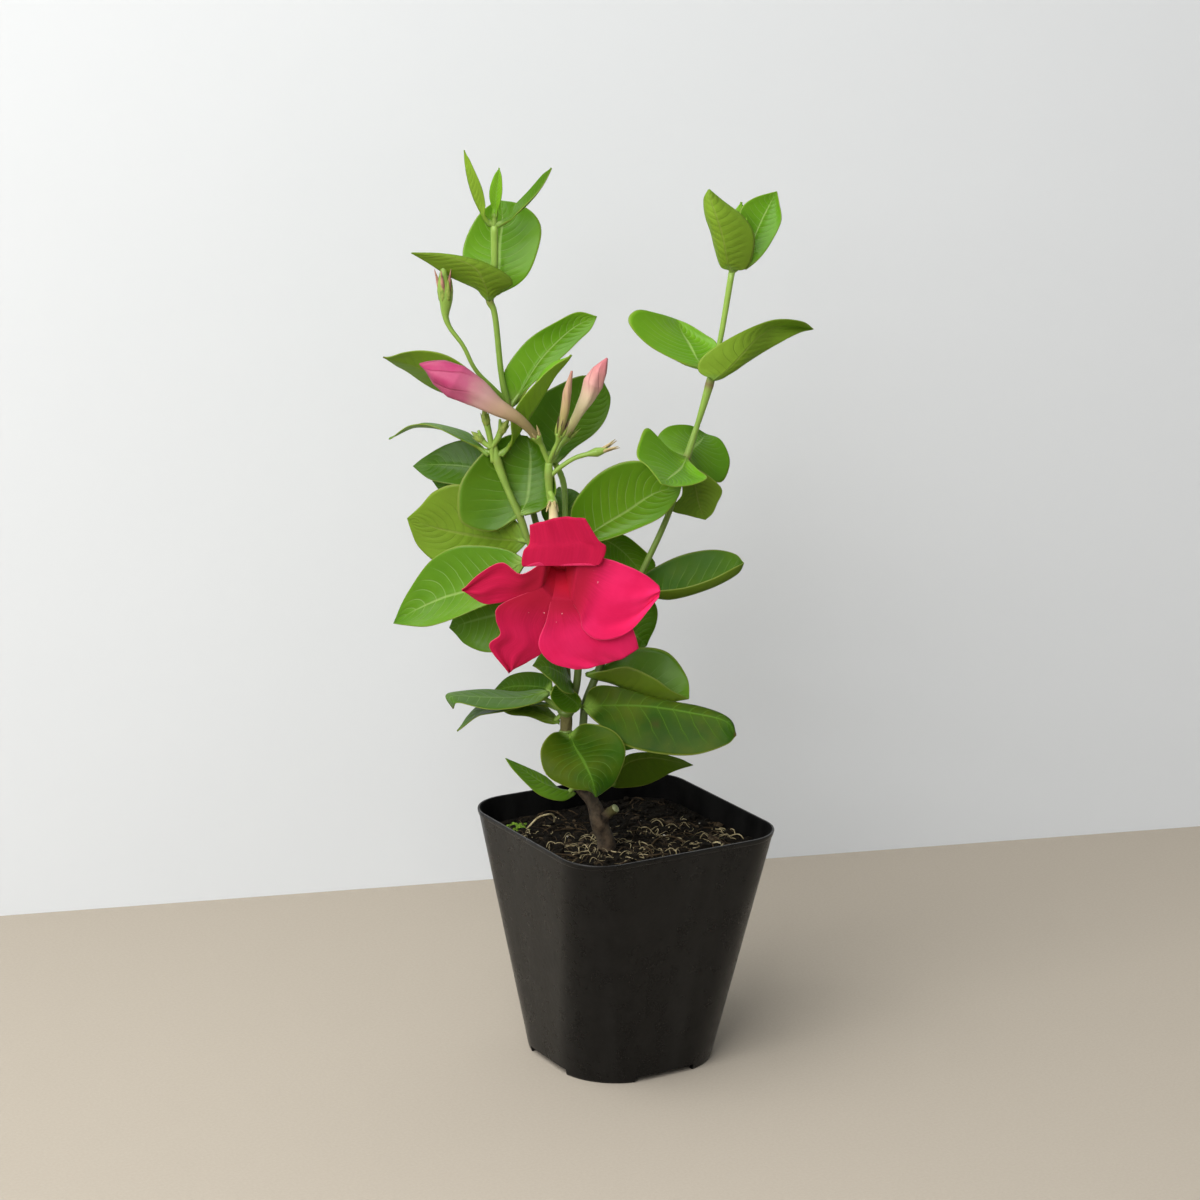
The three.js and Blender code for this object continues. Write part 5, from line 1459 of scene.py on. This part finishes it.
def make_plant():
    """The trunk and every node that grows on it. The tables' last columns: twigs, tones from foot to tip of
    the stem, how brown its nodes are, a material slot, which is not used, and what else grows there."""
    make_trunk()
    leaf_node("leaf_pair_first", TRUNK, FIRST_PAIR, FIRST_TONES, ring=4)
    leaf_node("leaf_pair_second", TRUNK, SECOND_PAIR, SECOND_TONES, ring=6)
    leaf_node("leaf_cluster_fork", TRUNK, LOW_LEAVES, LOW_TONES, ring=7)
    shoots = (
        ("shoot_right", RIGHT_STEM, RIGHT_LEAVES, RIGHT_TONES, (), (0.0, 1.0), 0.75, "leaf_young", None),
        (
            "shoot_top_left", TOP_LEFT_STEM, TOP_LEFT_LEAVES, TOP_LEFT_TONES,
            (SPENT_LEFT,), (0.2, 1.0), 0.5, "leaf_young", spent_extra,
        ),
        (
            "shoot_middle", MIDDLE_STEM, MIDDLE_LEAVES, MIDDLE_TONES,
            MIDDLE_TWIGS, (0.2, 0.9), 0.3, "leaf_dark", truss_extra,
        ),
        (
            "shoot_left", LEFT_STEM, LEFT_LEAVES, LEFT_TONES,
            YOUNG_TRUSS, (0.4, 0.9), 0.3, "leaf_young", young_extra,
        ),
    )
    for name, stem, leaves, tones, *rest in shoots:
        leaf_node(name, stem, leaves, tones, None, *rest)
    make_corolla()
    make_bud("bud_large", STALK_LARGE, BUD_LARGE, BUD_LARGE_SKIN)
    make_bud("bud_upright", STALK_UPRIGHT, BUD_UPRIGHT, BUD_UPRIGHT_SKIN)
    make_bud("bud_small", STALK_SMALL, BUD_SMALL, BUD_SMALL_SKIN, 1.0, 0.03)


make_pot()
make_mix()
make_plant()


# ---- the stage: pale wall, sand-coloured floor, soft studio light ----
FLOOR_HALF, WALL_HALF, WALL_HALF_HEIGHT = 4000, 5000, 1500  # in mm
WALL_AT, WALL_ALONG = vec([-335, 166, 0]), vec([0.963, 0.271, 0])
LIGHT_SIZE = 1.8  # in metres
SKY, SKY_POWER = (0.93, 0.96, 1.0, 1), 0.33


def plane(name, centre, x_dir, y_dir, mat):
    """A rectangle that reaches x_dir and y_dir to both sides of its centre."""
    c, x, y = (vec(v) for v in (centre, x_dir, y_dir))
    pts = [c - x - y, c + x - y, c + x + y, c - x + y]
    mesh = bpy.data.meshes.new(name)
    mesh.from_pydata((np.array(pts) @ TO_ROW.T * MM).tolist(), [], [(0, 1, 2, 3)])
    mesh.materials.append(mat)
    mesh.update()
    obj = bpy.data.objects.new(name, mesh)
    scene.collection.objects.link(obj)


def one_sided(mat):
    """Lets what stands behind a wall's back show through it."""
    tree = mat.node_tree
    side = tree.nodes.new("ShaderNodeNewGeometry")
    clear = tree.nodes.new("ShaderNodeBsdfTransparent")
    mix = tree.nodes.new("ShaderNodeMixShader")
    tree.links.new(side.outputs["Backfacing"], mix.inputs[0])
    tree.links.new(tree.nodes["Principled BSDF"].outputs[0], mix.inputs[1])
    tree.links.new(clear.outputs[0], mix.inputs[2])
    tree.links.new(mix.outputs[0], tree.nodes["Material Output"].inputs[0])


WALL = plain("wall", (0.665, 0.685, 0.70), (0.675, 0.695, 0.71), 3, 0.9, 0, 0.1)
SAND = plain("sand_floor", (0.368, 0.325, 0.266), (0.388, 0.343, 0.281), 700, 0.85, 0, 0.2)
plane("floor", [0, 0, 0], [FLOOR_HALF, 0, 0], [0, FLOOR_HALF, 0], SAND)
wall_up = [0, 0, WALL_HALF_HEIGHT]
plane("wall", WALL_AT + wall_up, WALL_ALONG * WALL_HALF, wall_up, WALL)
one_sided(WALL)


def area_light(name, at, target, power, color=(1, 1, 1)):
    light = bpy.data.lights.new(name, "AREA")
    light.shape, light.size, light.size_y = "RECTANGLE", LIGHT_SIZE, LIGHT_SIZE
    light.energy, light.color = power, color
    obj = bpy.data.objects.new(name, light)
    obj.location = Vector(vec(at) @ TO_ROW.T) * MM
    aim = Vector(vec(target) @ TO_ROW.T) * MM - obj.location
    obj.rotation_euler = aim.to_track_quat("-Z", "Y").to_euler()
    scene.collection.objects.link(obj)


area_light("key", [-900, -1560, 1450], [0, 0, 200], 67, (1.0, 0.995, 0.985))
area_light("fill", [1500, -1300, 900], [0, 0, 250], 1)
area_light("top", [-950, 50, 1850], [-50, 100, 150], 35)
world = bpy.data.worlds.new("studio")
world.use_nodes = True
sky = world.node_tree.nodes["Background"]
sky.inputs[0].default_value, sky.inputs[1].default_value = SKY, SKY_POWER
scene.world = world

# ---- camera, solved from the pot's rim and foot and the floor line in the photo ----
CAM_PITCH, CAM_ROLL = math.radians(14.73), math.radians(1.13)
CAM_FOCAL_PX, CAM_FRAME_PX = 3200, 1200
# where the pot's foot lies from the camera, in mm: ahead, to the right and up
CAM_DISTANCE = 1571.8
CAM_SHIFT = (9.68, -219.8)
SENSOR, CLIP_END = 36, 50
level_right = vec([1, 0, 0])
ahead = vec([0, math.cos(CAM_PITCH), -math.sin(CAM_PITCH)])
level_up = vec([0, math.sin(CAM_PITCH), math.cos(CAM_PITCH)])
cam_right = level_right * math.cos(CAM_ROLL) + level_up * math.sin(CAM_ROLL)
cam_up = -level_right * math.sin(CAM_ROLL) + level_up * math.cos(CAM_ROLL)
place = -(CAM_SHIFT[0] * cam_right + CAM_SHIFT[1] * cam_up + CAM_DISTANCE * ahead)
cam_data = bpy.data.cameras.new("camera")
cam_data.sensor_width = SENSOR
cam_data.lens = CAM_FOCAL_PX / CAM_FRAME_PX * SENSOR
cam_data.clip_end = CLIP_END
camera = bpy.data.objects.new("camera", cam_data)
axes = TO_ROW @ np.stack([cam_right, cam_up, -ahead], axis=1)
camera.matrix_world = Matrix.Translation(Vector(TO_ROW @ place) * MM) @ Matrix(axes.tolist()).to_4x4()
scene.collection.objects.link(camera)
scene.camera = camera
scene.view_settings.view_transform = "Standard"
